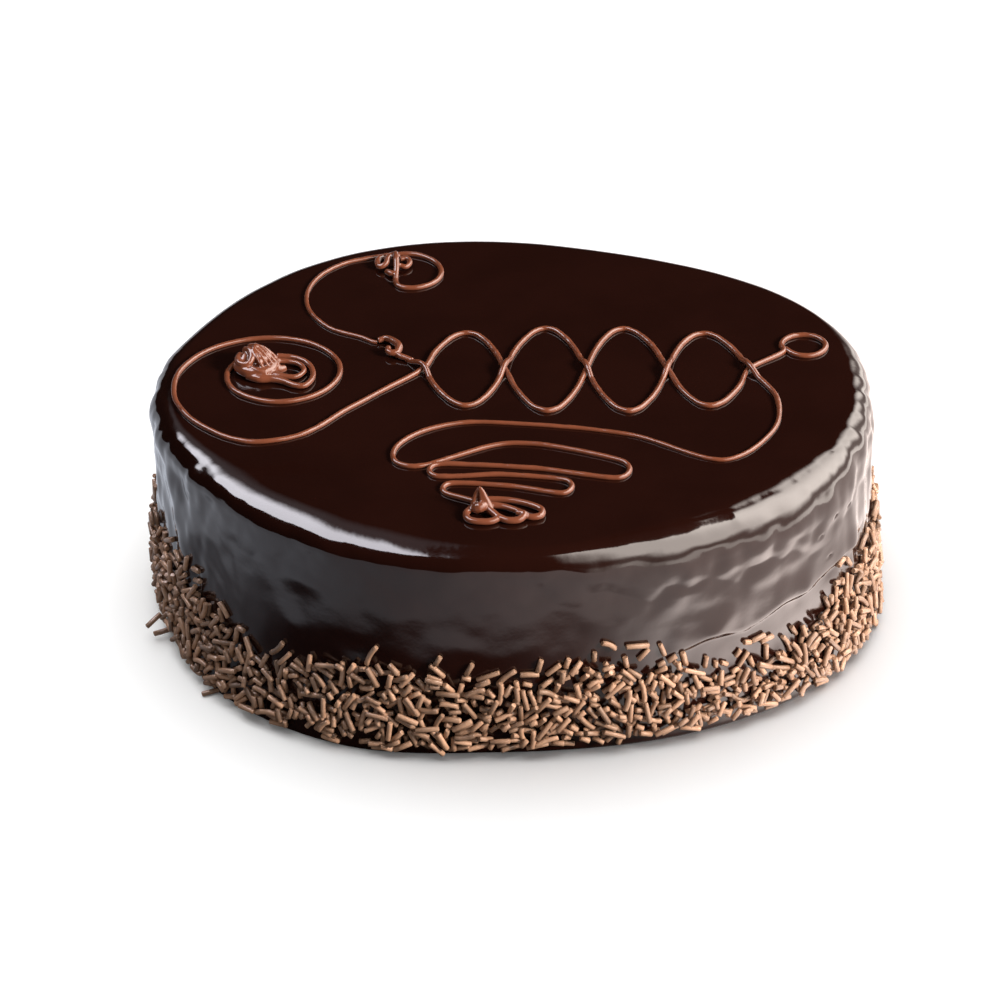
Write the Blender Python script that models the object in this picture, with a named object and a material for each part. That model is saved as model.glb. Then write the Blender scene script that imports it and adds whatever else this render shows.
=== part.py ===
"""Oval chocolate torte: a glazed cake, a band of chocolate sprinkles round its foot, and a
piped chocolate ornament on top.

Metres, +Z up. The cake's long axis lies along X, and the origin is at the middle of its
flat base. Angles round the cake start at +X and run towards +Y.
"""

import math

import bmesh
import bpy
from mathutils import Vector

# The glazed cake.
HALF_LENGTH = 0.1200
HALF_WIDTH = 0.1002
HEIGHT = 0.0763
SHOULDER_RADIUS = 0.007
SHOULDER_STEPS = 5
FOOT_RADIUS = 0.0015
FOOT_STEPS = 2
WALL_LEVELS = (0.30, 0.65)
CAKE_SEGMENTS = 64
SHARP_EDGE = math.radians(40.0)

# Unevenness of the hand-spread outline: waves round the cake, share of the radius, and
# the angle in degrees of the first crest. The foot's waves fade out towards the rim.
RIM_WAVES = ((2, 0.0080, -90.0), (3, 0.0075, 36.9), (4, 0.0070, 94.1), (5, 0.0122, 172.5))
FOOT_WAVES = ((1, 0.0052, 215.5), (2, 0.0050, 33.7), (3, 0.0227, -40.7))
# Moves the uneven outline so that its box is centred on the origin.
CENTRE_X = -0.0009
CENTRE_Y = -0.0009

# The band of sprinkles.
FIT_GAP = 0.0003
BAND_THICKNESS = 0.0047
BAND_EDGE_SHARE = 0.25
BAND_FOOT_SHARE = 0.55
BAND_BELLY_RISE = 0.30
BAND_HEIGHT = 0.0335
BAND_HEIGHT_WAVES = ((2, 0.0020, 0.0), (4, 0.0045, 0.0), (13, 0.0012, 40.0))
BAND_LUMPS = ((11, 0.0005, 20.0), (17, 0.0004, 75.0))
BAND_LUMP_SHIFT = 2.4
BAND_SEGMENTS = 72
BAND_ROWS = 6

# The piped line.
BEAD_RADIUS = 0.0014
LINE_TURN = math.radians(20.0)
LINE_STEP = 0.008
ROUTE_STEP = 0.0005
POINTS_PER_TURN = 14
HUMP_FLAT = 0.0045
HUMP_REACH = 0.0125

# The double spiral at the left end, wound outwards.
SPIRAL_CENTRE = (-0.077, 0.004)
SPIRAL_SQUASH = 0.93
SPIRAL_INNER = 0.0175
SPIRAL_GROWTH = 0.0165
SPIRAL_POWER = 2.0
SPIRAL_START = math.radians(172.0)
SPIRAL_TURNS = 1.25
SPIRAL_EXIT = ((-0.0610, -0.0250), (-0.0425, -0.0060))

# The braid of two waves across the middle.
BRAID_START = (-0.030, 0.008)
BRAID_EYES = 4
BRAID_PITCH = 0.027
BRAID_HEIGHT = 0.0205
BRAID_SWELL = 0.0060

# The small curl that ends the first wave at the right.
END_CURL_CENTRE = (0.096, 0.021)
END_CURL_OUTER = 0.0105
END_CURL_INNER = 0.0050
END_CURL_TURNS = 0.92
END_CURL_SQUASH = 0.9

# The loop and the open arc at the back left.
LOOP_CENTRE = (-0.037, 0.0705)
LOOP_INNER = 0.0095
LOOP_GROWTH = 0.0085
LOOP_START = math.radians(-112.0)
LOOP_TURNS = 0.56
ARC_CENTRE = (-0.0445, 0.0550)
ARC_RADII = (0.0265, 0.0275)
ARC_START = math.radians(112.0)
ARC_END = math.radians(232.0)
ARC_STEPS = 8
ARC_EXIT = ((-0.0510, 0.0280), (-0.0470, 0.0250))

# The swash under the braid, and the zigzag that narrows towards the front. Each of its
# round turns, left and right by turns, has its outermost point, its radius, and how far
# the stroke after it bows towards the back.
FLOURISH_START = (-0.0358, 0.0137)
SWASH = (
    (0.0860, -0.0100),
    (0.0835, -0.0290),
    (0.0670, -0.0465),
    (0.0370, -0.0320),
    (-0.0020, -0.0235),
    (-0.0265, -0.0275),
)
ZIGZAG_TURNS = (
    ((-0.0385, -0.0435), 0.0040, 0.0100),
    ((0.0365, -0.0520), 0.0055, 0.0020),
    ((-0.0270, -0.0530), 0.0035, 0.0020),
    ((0.0180, -0.0620), 0.0040, 0.0015),
    ((-0.0225, -0.0635), 0.0033, 0.0000),
)
ZIGZAG_TURN_ANGLES = (70.0, 35.0, 0.0, -35.0, -70.0)
ZIGZAG_EXIT = (-0.0125, -0.0705)

# The knots of piped chocolate: centre, half length, half width, height and coils.
KNOTS = {
    "piped_knot_left": ((-0.0820, 0.0095), 0.0115, 0.0085, 0.0095, 2.6),
    "piped_knot_back": ((-0.0410, 0.0735), 0.0055, 0.0050, 0.0060, 1.8),
    "piped_knot_centre": ((-0.0410, 0.0195), 0.0050, 0.0050, 0.0055, 1.7),
    "piped_knot_front": ((-0.0035, -0.0785), 0.0115, 0.0058, 0.0070, 2.2),
}
KNOT_BEAD_RADIUS = 0.0019
KNOT_VOXEL = 0.0011
KNOT_CORE_SHARE = 0.25

DARK_GLAZE = ((0.016, 0.006, 0.004), 0.12)
SPRINKLE_BROWN = ((0.28, 0.15, 0.09), 0.60)
MILK_CHOCOLATE = ((0.16, 0.055, 0.030), 0.30)


def clear_scene():
    """Removes whatever the open file already holds."""
    for item in list(bpy.data.objects):
        bpy.data.objects.remove(item, do_unlink=True)


def chocolate(name, finish):
    """A plain material from a colour and a roughness."""
    colour, roughness = finish
    material = bpy.data.materials.new(name)
    material.use_nodes = True
    shader = material.node_tree.nodes["Principled BSDF"]
    shader.inputs["Base Color"].default_value = (*colour, 1.0)
    shader.inputs["Roughness"].default_value = roughness
    shader.inputs["Metallic"].default_value = 0.0
    return material


def add_object(name, data, material):
    """Puts a mesh or a curve into the scene with its material."""
    data.materials.append(material)
    item = bpy.data.objects.new(name, data)
    bpy.context.collection.objects.link(item)
    return item


def waves(angle, table):
    """The sum of the table's waves at this angle: count round the cake, size, crest."""
    return sum(
        size * math.cos(count * angle - math.radians(crest)) for count, size, crest in table
    )


def wall_point(angle, height, outset):
    """A point at this height, outset metres outside the cake's upright wall."""
    lowness = 1.0 - height / HEIGHT
    scale = 1.0 + waves(angle, RIM_WAVES) + lowness * waves(angle, FOOT_WAVES)
    outward = Vector((math.cos(angle) / HALF_LENGTH, math.sin(angle) / HALF_WIDTH, 0.0))
    oval = Vector((HALF_LENGTH * math.cos(angle), HALF_WIDTH * math.sin(angle), 0.0))
    centre = Vector((CENTRE_X, CENTRE_Y, height))
    return centre + oval * scale + outward.normalized() * outset


def skin(mesh_name, rings, closed_tube):
    """Faces between rings of points. A closed tube joins its last ring to its first, and
    any other run of rings is capped at both ends."""
    shape = bmesh.new()
    rows = [[shape.verts.new(point) for point in ring] for ring in rings]
    pairs = list(zip(rows, rows[1:]))
    if closed_tube:
        pairs.append((rows[-1], rows[0]))
    for lower, upper in pairs:
        for index in range(len(lower)):
            after = (index + 1) % len(lower)
            shape.faces.new((lower[index], lower[after], upper[after], upper[index]))
    if not closed_tube:
        for row in (rows[0], rows[-1]):
            middle = sum((vertex.co for vertex in row), Vector()) / len(row)
            hub = shape.verts.new(middle)
            for index, vertex in enumerate(row):
                shape.faces.new((vertex, row[(index + 1) % len(row)], hub))
    bmesh.ops.recalc_face_normals(shape, faces=shape.faces)
    mesh = bpy.data.meshes.new(mesh_name)
    shape.to_mesh(mesh)
    shape.free()
    mesh.shade_smooth()
    mesh.set_sharp_from_angle(angle=SHARP_EDGE)
    return mesh


def circle_angles(count):
    """Evenly spaced angles, once round."""
    return [2.0 * math.pi * index / count for index in range(count)]


def make_cake(material):
    """The solid oval: a small round at the foot, an upright wall and a round shoulder."""
    section = []
    for step in range(FOOT_STEPS + 1):
        turn = math.pi / 2.0 * step / FOOT_STEPS
        inset = FOOT_RADIUS * (1.0 - math.sin(turn))
        section.append((FOOT_RADIUS * (1.0 - math.cos(turn)), -inset))
    for share in WALL_LEVELS:
        section.append((HEIGHT * share, 0.0))
    for step in range(SHOULDER_STEPS + 1):
        turn = math.pi / 2.0 * step / SHOULDER_STEPS
        inset = SHOULDER_RADIUS * (1.0 - math.cos(turn))
        section.append((HEIGHT - SHOULDER_RADIUS * (1.0 - math.sin(turn)), -inset))
    angles = circle_angles(CAKE_SEGMENTS)
    rings = [[wall_point(angle, z, outset) for angle in angles] for z, outset in section]
    add_object("glazed_cake", skin("glazed_cake", rings, False), material)


def make_band(material):
    """The ring of sprinkles: thick at the foot, thin along its wavy top edge."""
    rings = []
    for angle in circle_angles(BAND_SEGMENTS):
        top = BAND_HEIGHT + waves(angle, BAND_HEIGHT_WAVES)
        section = [wall_point(angle, 0.0, FIT_GAP)]
        for row in range(BAND_ROWS + 1):
            rise = row / BAND_ROWS
            fullness = BAND_EDGE_SHARE + (1.0 - BAND_EDGE_SHARE) * math.sqrt(1.0 - rise**2)
            belly = min(1.0, rise / BAND_BELLY_RISE)
            fullness *= BAND_FOOT_SHARE + (1.0 - BAND_FOOT_SHARE) * belly
            lump = waves(angle + BAND_LUMP_SHIFT * rise, BAND_LUMPS) * fullness
            outset = FIT_GAP + BAND_THICKNESS * fullness + lump
            section.append(wall_point(angle, top * rise, outset))
        section.append(wall_point(angle, top, FIT_GAP))
        rings.append(section)
    add_object("sprinkle_band", skin("sprinkle_band", rings, True), material)


def winding(centre, start, turns, radius_at, squash=1.0):
    """Points along a spiral whose radius is a function of the turns made so far."""
    count = round(abs(turns) * POINTS_PER_TURN)
    points = []
    for step in range(count + 1):
        made = turns * step / count
        angle = start + 2.0 * math.pi * made
        radius = radius_at(abs(made))
        offset = (radius * math.cos(angle), radius * math.sin(angle) * squash)
        points.append((centre[0] + offset[0], centre[1] + offset[1]))
    return points


def braid_wave(side):
    """One of the braid's two waves: quarter points of each bow, first bow on this side."""
    points = []
    quarters = 4 * BRAID_EYES
    for step in range(quarters + 1):
        swell = BRAID_SWELL * math.sin(math.pi * step / quarters)
        bow = (BRAID_HEIGHT + swell) * math.sin(math.pi * step / 4.0)
        across = BRAID_START[0] + BRAID_PITCH * step / 4.0
        points.append((across, BRAID_START[1] + side * bow))
    return points


def zigzag():
    """Round turns, each entered from the back and left in front, and the bows between."""
    points = []
    for index, ((x, y), radius, bow) in enumerate(ZIGZAG_TURNS):
        side = math.copysign(1.0, x)
        for degrees in ZIGZAG_TURN_ANGLES:
            turn = math.radians(degrees)
            back = side * radius * (1.0 - math.cos(turn))
            points.append((x - back, y + radius * math.sin(turn)))
        if bow:
            (next_x, next_y), next_radius, _ = ZIGZAG_TURNS[index + 1]
            middle = (y - radius + next_y + next_radius) / 2.0
            points.append(((x + next_x) / 2.0, middle + bow))
    return [*points, ZIGZAG_EXIT]


def smooth_route(points):
    """Evenly spaced places on a centripetal Catmull-Rom curve through the points."""
    stops = [Vector(point) for point in points]
    stops = [2 * stops[0] - stops[1], *stops, 2 * stops[-1] - stops[-2]]
    route = []
    for before, start, end, after in zip(stops, stops[1:], stops[2:], stops[3:]):
        steps = ((before, start), (start, end), (end, after))
        spans = [(far - near).length ** 0.5 for near, far in steps]
        leave = (start - before) / spans[0] - (end - before) / (spans[0] + spans[1])
        leave = (leave + (end - start) / spans[1]) * spans[1]
        arrive = (end - start) / spans[1] - (after - start) / (spans[1] + spans[2])
        arrive = (arrive + (after - end) / spans[2]) * spans[1]
        count = max(1, round((end - start).length / ROUTE_STEP))
        for step in range(count):
            t = step / count
            route.append(
                start * (2 * t**3 - 3 * t**2 + 1)
                + leave * (t**3 - 2 * t**2 + t)
                + end * (3 * t**2 - 2 * t**3)
                + arrive * (t**3 - t**2)
            )
    route.append(stops[-2])
    return route


def hump(distance):
    """How far a line is lifted at this distance from where it passes over another."""
    share = (HUMP_REACH - distance) / (HUMP_REACH - HUMP_FLAT)
    share = min(1.0, max(0.0, share))
    return (2.0 * BEAD_RADIUS + FIT_GAP) * share * share * (3.0 - 2.0 * share)


def thin_out(route):
    """Keeps the points where the line has turned or run on far enough."""
    kept = [route[0]]
    heading = (route[1] - route[0]).normalized()
    for place, after in zip(route[1:-1], route[2:]):
        onward = (after - place).normalized()
        if heading.angle(onward) > LINE_TURN or (place - kept[-1]).length > LINE_STEP:
            kept.append(place)
            heading = onward
    kept.append(route[-1])
    return kept


def add_piping(name, places, radius, material):
    """A round bead of chocolate along the places, with filled ends."""
    curve = bpy.data.curves.new(name, "CURVE")
    curve.dimensions = "3D"
    curve.twist_mode = "Z_UP"
    curve.bevel_depth = radius
    curve.bevel_resolution = 1
    curve.use_fill_caps = True
    spline = curve.splines.new("POLY")
    spline.points.add(len(places) - 1)
    for point, place in zip(spline.points, places):
        point.co = (*place, 1.0)
    return add_object(name, curve, material)


def make_line(name, points, crossings, material):
    """A piped line on the glaze that passes over other lines at the crossings."""
    level = HEIGHT + FIT_GAP + BEAD_RADIUS
    route = []
    for place in smooth_route(points):
        lift = max((hump((place - spot).length) for spot in crossings), default=0.0)
        route.append(Vector((place.x, place.y, level + lift)))
    add_piping(name, thin_out(route), BEAD_RADIUS, material)


def make_lines(material):
    """The three piped lines. The flourish is piped last, over the spiral line's wave."""
    crossings = [
        Vector((BRAID_START[0] + BRAID_PITCH * eye, BRAID_START[1]))
        for eye in range(BRAID_EYES + 1)
    ]

    spiral = winding(
        SPIRAL_CENTRE,
        SPIRAL_START,
        SPIRAL_TURNS,
        lambda made: SPIRAL_INNER + SPIRAL_GROWTH * made**SPIRAL_POWER,
        squash=SPIRAL_SQUASH,
    )
    end_curl = winding(
        END_CURL_CENTRE,
        math.pi,
        -END_CURL_TURNS,
        lambda made: END_CURL_OUTER + (END_CURL_INNER - END_CURL_OUTER) * made,
        squash=END_CURL_SQUASH,
    )
    points = [*spiral, *SPIRAL_EXIT, *braid_wave(1.0), *end_curl]
    make_line("piped_spiral", points, [], material)

    loop = winding(
        LOOP_CENTRE, LOOP_START, LOOP_TURNS, lambda made: LOOP_INNER + LOOP_GROWTH * made
    )
    arc = []
    for step in range(ARC_STEPS + 1):
        angle = ARC_START + (ARC_END - ARC_START) * step / ARC_STEPS
        reach = (ARC_RADII[0] * math.cos(angle), ARC_RADII[1] * math.sin(angle))
        arc.append((ARC_CENTRE[0] + reach[0], ARC_CENTRE[1] + reach[1]))
    make_line("piped_curl", [*loop, *arc, *ARC_EXIT], [], material)

    points = [FLOURISH_START, *braid_wave(-1.0), *SWASH, *zigzag()]
    make_line("piped_flourish", points, crossings, material)


def make_knot(name, material):
    """A heap of thick piping, coiled inwards and upwards and run together."""
    centre, half_length, half_width, height, coils = KNOTS[name]
    reach = (half_length - KNOT_BEAD_RADIUS, half_width - KNOT_BEAD_RADIUS)
    rise = height - 2.0 * KNOT_BEAD_RADIUS
    count = round(coils * POINTS_PER_TURN)
    places = []
    for step in range(count + 1):
        share = step / count
        angle = 2.0 * math.pi * coils * share
        spread = 1.0 - (1.0 - KNOT_CORE_SHARE) * share
        x = centre[0] + reach[0] * spread * math.cos(angle)
        y = centre[1] + reach[1] * spread * math.sin(angle)
        z = HEIGHT + 2.0 * FIT_GAP + KNOT_BEAD_RADIUS + rise * share
        places.append(Vector((x, y, z)))
    guide = add_piping(name + "_guide", places, KNOT_BEAD_RADIUS, material)
    solid = bpy.data.meshes.new_from_object(guide)
    bpy.data.objects.remove(guide, do_unlink=True)
    solid.materials.clear()
    knot = add_object(name, solid, material)
    fuse = knot.modifiers.new("Run together", "REMESH")
    fuse.mode = "VOXEL"
    fuse.voxel_size = KNOT_VOXEL
    fuse.use_smooth_shade = True


def main():
    clear_scene()
    make_cake(chocolate("dark_glaze", DARK_GLAZE))
    make_band(chocolate("sprinkles", SPRINKLE_BROWN))
    make_lines(chocolate("piped_chocolate", MILK_CHOCOLATE))
    for name in KNOTS:
        make_knot(name, chocolate(name, MILK_CHOCOLATE))


main()
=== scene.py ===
"""Oval sachertorte: dark mirror glaze, a band of chocolate sprinkles and a piped ornament.

Metres, +Z up, the cake's long axis along X. The origin is at the middle of the flat base,
and angles round the cake start at +X and run towards +Y.
"""

import logging
import math
from dataclasses import dataclass, field
from enum import Enum
from typing import Callable

import bmesh
import bpy
import numpy as np
from mathutils import Matrix, Vector, noise


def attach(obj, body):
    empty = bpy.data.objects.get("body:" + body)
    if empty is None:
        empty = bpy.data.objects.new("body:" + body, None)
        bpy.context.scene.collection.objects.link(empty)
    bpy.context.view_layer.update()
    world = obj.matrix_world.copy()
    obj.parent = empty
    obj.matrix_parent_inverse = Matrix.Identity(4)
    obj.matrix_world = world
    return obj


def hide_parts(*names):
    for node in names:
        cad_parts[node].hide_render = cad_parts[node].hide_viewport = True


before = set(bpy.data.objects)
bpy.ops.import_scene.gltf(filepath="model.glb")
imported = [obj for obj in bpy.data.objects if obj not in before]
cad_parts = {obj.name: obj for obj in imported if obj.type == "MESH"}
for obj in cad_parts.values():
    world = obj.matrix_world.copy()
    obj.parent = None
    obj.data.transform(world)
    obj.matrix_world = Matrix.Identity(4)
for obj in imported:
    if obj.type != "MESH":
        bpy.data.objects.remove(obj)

LOG = logging.getLogger("sachertorte")
MM = 0.001
BODY = "root"


def ramp(value: np.ndarray, start: float, end: float) -> np.ndarray:
    """Eases from 0 where the value is at the start to 1 where it is at the end."""
    share = np.clip((value - start) / (end - start), 0.0, 1.0)
    return share * share * (3.0 - 2.0 * share)


def bell(angle: np.ndarray, middle: float, reach: float) -> np.ndarray:
    """A smooth bump round the cake: 1 in its middle and 0 beyond its reach, both in degrees."""
    away = np.degrees(np.arccos(np.cos(angle - math.radians(middle))))
    return 1.0 - ramp(away, 0.3 * reach, reach)


def bumps(angle: np.ndarray, table: tuple) -> np.ndarray:
    """The sum of a table's bumps round the cake, in rows of middle, reach and size."""
    return sum(size * bell(angle, middle, reach) for middle, reach, size in table)


def lumps(places: np.ndarray, size: float, seed: float) -> np.ndarray:
    """Smooth noise from about -1 to 1 for each point, in lumps of a size in metres."""
    return np.array([noise.noise(Vector(place)) for place in places / size + seed])


def pebbles(places: np.ndarray, size: float, seed: float) -> np.ndarray:
    """Round scales of a size in metres: 1 in the middle of one, about 0 in a crease."""
    nearest = np.array([noise.voronoi(Vector(place))[0][0] for place in places / size + seed])
    return 1.0 - np.minimum(1.2 * nearest, 1.0) ** 2


def waves(angle: np.ndarray, table: tuple) -> np.ndarray:
    """The sum of a table's waves round the cake.

    Args:
        angle: Angles round the cake, in radians.
        table: Rows of count round the cake, size, and the first crest's angle in degrees.

    Returns:
        One number for each angle.
    """
    total = np.zeros_like(angle)
    for count, size, crest in table:
        total = total + size * np.cos(count * angle - math.radians(crest))
    return total


def distances(route: np.ndarray) -> np.ndarray:
    """How far along a route each of its places is."""
    steps = np.linalg.norm(np.diff(route, axis=0), axis=1)
    return np.concatenate(([0.0], np.cumsum(steps)))


def smooth_route(stops: list, step: float) -> np.ndarray:
    """Places along a centripetal Catmull-Rom curve.

    Args:
        stops: The points that the curve passes through, with any number of values each. The
            first two are the place on the plan.
        step: About how far apart the places are, in metres.

    Returns:
        The places, one a row, with as many values as a stop has.
    """
    points = [np.array(stop, float) for stop in stops]
    points = [2.0 * points[0] - points[1], *points, 2.0 * points[-1] - points[-2]]
    route = []
    for before, start, end, after in zip(points, points[1:], points[2:], points[3:]):
        spans = [
            max(float(np.linalg.norm((far - near)[:3])), 1e-6) ** 0.5
            for near, far in ((before, start), (start, end), (end, after))
        ]
        leave = (start - before) / spans[0] - (end - before) / (spans[0] + spans[1])
        leave = (leave + (end - start) / spans[1]) * spans[1]
        arrive = (end - start) / spans[1] - (after - start) / (spans[1] + spans[2])
        arrive = (arrive + (after - end) / spans[2]) * spans[1]
        count = max(1, round(float(np.linalg.norm((end - start)[:3])) / step))
        for index in range(count):
            t = index / count
            route.append(
                start * (2 * t**3 - 3 * t**2 + 1)
                + leave * (t**3 - 2 * t**2 + t)
                + end * (3 * t**2 - 2 * t**3)
                + arrive * (t**3 - t**2)
            )
    route.append(points[-2])
    return np.array(route)


def add_object(name: str, data: bpy.types.ID) -> bpy.types.Object:
    """Puts a mesh, light or camera into the scene.

    Args:
        name: The object's name.
        data: The mesh, light or camera.

    Returns:
        The new object, at the origin.
    """
    item = bpy.data.objects.new(name, data)
    bpy.context.scene.collection.objects.link(item)
    return item


def add_mesh(name: str, points: list, edges: list, faces: list) -> bpy.types.Object:
    """Puts a plain mesh into the scene.

    Args:
        name: The object's name.
        points: Its points.
        edges: Pairs of point numbers, for edges that no face has.
        faces: Lists of point numbers.

    Returns:
        The new object, at the origin.
    """
    mesh = bpy.data.meshes.new(name)
    mesh.from_pydata(points, edges, faces)
    return add_object(name, mesh)


def add_shape(name: str, shape: bmesh.types.BMesh) -> bpy.types.Object:
    """Puts a finished shape into the scene.

    Args:
        name: The object's name.
        shape: The shape, which is freed.

    Returns:
        The new object, at the origin.
    """
    mesh = bpy.data.meshes.new(name)
    shape.to_mesh(mesh)
    shape.free()
    return add_object(name, mesh)


def discard(item: bpy.types.Object) -> None:
    """Removes an object and its mesh.

    Args:
        item: The object.
    """
    mesh = item.data
    bpy.data.objects.remove(item, do_unlink=True)
    bpy.data.meshes.remove(mesh)


def store(item: bpy.types.Object, name: str, kind: str, values: np.ndarray) -> None:
    """Keeps values with the points of an object's mesh.

    Args:
        item: The object.
        name: The attribute's name.
        kind: The attribute's type.
        values: One number or row of numbers for each point.
    """
    entry = {"FLOAT": "value", "FLOAT_VECTOR": "vector", "FLOAT_COLOR": "color"}[kind]
    attribute = item.data.attributes.new(name, kind, "POINT")
    attribute.data.foreach_set(entry, np.ravel(values))


def plain_mesh(source: bpy.types.Object, name: str) -> bpy.types.Object:
    """Turns an object and its modifiers into an object with a plain mesh.

    Args:
        source: The object, which is removed.
        name: The new object's name.

    Returns:
        The new object, at the origin, with no modifiers.
    """
    depsgraph = bpy.context.evaluated_depsgraph_get()
    mesh = bpy.data.meshes.new_from_object(
        source.evaluated_get(depsgraph), preserve_all_data_layers=True, depsgraph=depsgraph
    )
    discard(source)
    mesh.name = name
    return add_object(name, mesh)


def hand_over(item: bpy.types.Object, slot: str, *nodes: str) -> None:
    """Makes a finished piece stand for CAD nodes.

    Args:
        item: The finished piece.
        slot: The record's material slot, which is not used.
        *nodes: The CAD nodes that it replaces.
    """
    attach(item, BODY)
    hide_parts(*nodes)
    item.data.calc_loop_triangles()
    LOG.info("%s: %d triangles", item.name, len(item.data.loop_triangles))


@dataclass
class Wiring:
    """Adds nodes to a tree and joins them."""

    tree: bpy.types.NodeTree

    def feed(self, node: bpy.types.Node, inputs: dict) -> bpy.types.Node:
        """Sets or joins a node's inputs.

        Args:
            node: The node.
            inputs: For each input's name or number, a value or a socket to join to it.

        Returns:
            The same node.
        """
        for key, value in inputs.items():
            if isinstance(value, bpy.types.NodeSocket):
                self.tree.links.new(value, node.inputs[key])
            else:
                node.inputs[key].default_value = value
        return node

    def node(self, kind: str, inputs: dict | None = None, **settings: object) -> bpy.types.Node:
        """Adds one node.

        Args:
            kind: The node's type.
            inputs: For each input's name or number, a value or a socket to join to it.
            **settings: The node's own settings.

        Returns:
            The new node.
        """
        made = self.tree.nodes.new(kind)
        for name, value in settings.items():
            setattr(made, name, value)
        return self.feed(made, inputs or {})

    def math(self, operation: str, *values: "float | bpy.types.NodeSocket") -> bpy.types.NodeSocket:
        """Adds a Math node for these numbers or sockets, and gives its output."""
        return self.node("ShaderNodeMath", dict(enumerate(values)), operation=operation).outputs[0]

    def spread(self, value: bpy.types.NodeSocket, start: float, end: float, low: float = 0.0,
               high: float = 1.0, style: str = "LINEAR") -> bpy.types.NodeSocket:
        """Maps a value from one range to another.

        Args:
            value: What is mapped.
            start: Where the result is low.
            end: Where the result is high.
            low: The result at the start.
            high: The result at the end.
            style: The kind of interpolation.

        Returns:
            The mapped value.
        """
        limits = {"From Min": start, "From Max": end, "To Min": low, "To Max": high}
        mapped = self.node("ShaderNodeMapRange", {"Value": value, **limits}, interpolation_type=style)
        return mapped.outputs["Result"]

    def stored(self, name: str, kind: str) -> bpy.types.NodeSocket:
        """Reads a value that is kept with the points, in a geometry tree."""
        return self.node("GeometryNodeInputNamedAttribute", {"Name": name}, data_type=kind).outputs[0]


def open_tree(name: str, kind: str, inputs: dict, outputs: dict) -> tuple:
    """Starts a tree with named sockets.

    Args:
        name: The tree's name.
        kind: The tree's type.
        inputs: Socket types by name.
        outputs: Socket types by name.

    Returns:
        The wiring, and the tree's inputs by name.
    """
    tree = bpy.data.node_groups.new(name, kind)
    for direction, sockets in (("INPUT", inputs), ("OUTPUT", outputs)):
        for label, socket in sockets.items():
            tree.interface.new_socket(name=label, in_out=direction, socket_type="NodeSocket" + socket)
    wiring = Wiring(tree)
    return wiring, wiring.node("NodeGroupInput").outputs


def open_geometry(name: str, inputs: dict) -> tuple:
    """Starts a geometry tree, with the mesh as its first input and the finish as its last."""
    sockets = {"Geometry": "Geometry", **inputs, "Material": "Material"}
    return open_tree(name, "GeometryNodeTree", sockets, {"Geometry": "Geometry"})


def close_geometry(wiring: Wiring, geometry: bpy.types.NodeSocket, finish: bpy.types.NodeSocket) -> None:
    """Ends a geometry tree with real copies and the finish.

    Args:
        wiring: The tree's wiring.
        geometry: What the tree has made.
        finish: The tree's input for the finish.
    """
    real = wiring.node("GeometryNodeRealizeInstances", {"Geometry": geometry})
    dressed = wiring.node("GeometryNodeSetMaterial", {"Geometry": real.outputs[0], "Material": finish})
    wiring.node("NodeGroupOutput", {"Geometry": dressed.outputs[0]})


def run_tree(holder: bpy.types.Object, tree: bpy.types.NodeTree, values: dict,
             name: str) -> bpy.types.Object:
    """Runs a geometry tree on an object and keeps the result as a plain mesh.

    Args:
        holder: The object that holds the places, which is removed.
        tree: The geometry tree.
        values: The tree's inputs by name.
        name: The new object's name.

    Returns:
        The new object, at the origin, with no modifiers.
    """
    modifier = holder.modifiers.new(tree.name, "NODES")
    modifier.node_group = tree
    for item in tree.interface.items_tree:
        if item.item_type == "SOCKET" and item.in_out == "INPUT" and item.name in values:
            modifier[item.identifier] = values[item.name]
    return plain_mesh(holder, name)


def surface_group() -> bpy.types.NodeTree:
    """The group that all finishes share: soft patches of two colours, and a fine grain.

    Returns:
        The group, built once.
    """
    name = "Chocolate surface"
    if name in bpy.data.node_groups:
        return bpy.data.node_groups[name]
    sizes = {"Place": "Vector", "Patch scale": "Float", "Grain scale": "Float"}
    wiring, given = open_tree(
        name,
        "ShaderNodeTree",
        {**sizes, "Colour A": "Color", "Colour B": "Color"},
        {"Colour": "Color", "Mask": "Float", "Height": "Float"},
    )
    patches = wiring.node(
        "ShaderNodeTexNoise",
        {"Vector": given["Place"], "Scale": given["Patch scale"], "Detail": 3.0, "Roughness": 0.55},
    )
    mask = wiring.spread(patches.outputs["Fac"], 0.32, 0.68, style="SMOOTHSTEP")
    blend = wiring.node(
        "ShaderNodeMix",
        {"Factor": mask, 6: given["Colour A"], 7: given["Colour B"]},
        data_type="RGBA",
    )
    grain = wiring.node(
        "ShaderNodeTexNoise",
        {"Vector": given["Place"], "Scale": given["Grain scale"], "Detail": 2.0},
    )
    found = {"Colour": blend.outputs[2], "Mask": mask, "Height": grain.outputs["Fac"]}
    wiring.node("NodeGroupOutput", found)
    return wiring.tree


def new_material(name: str) -> tuple:
    """Makes a material.

    Args:
        name: The material's name.

    Returns:
        The material, its wiring and its shader.
    """
    material = bpy.data.materials.new(name)
    material.use_nodes = True
    return material, Wiring(material.node_tree), material.node_tree.nodes["Principled BSDF"]


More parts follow.
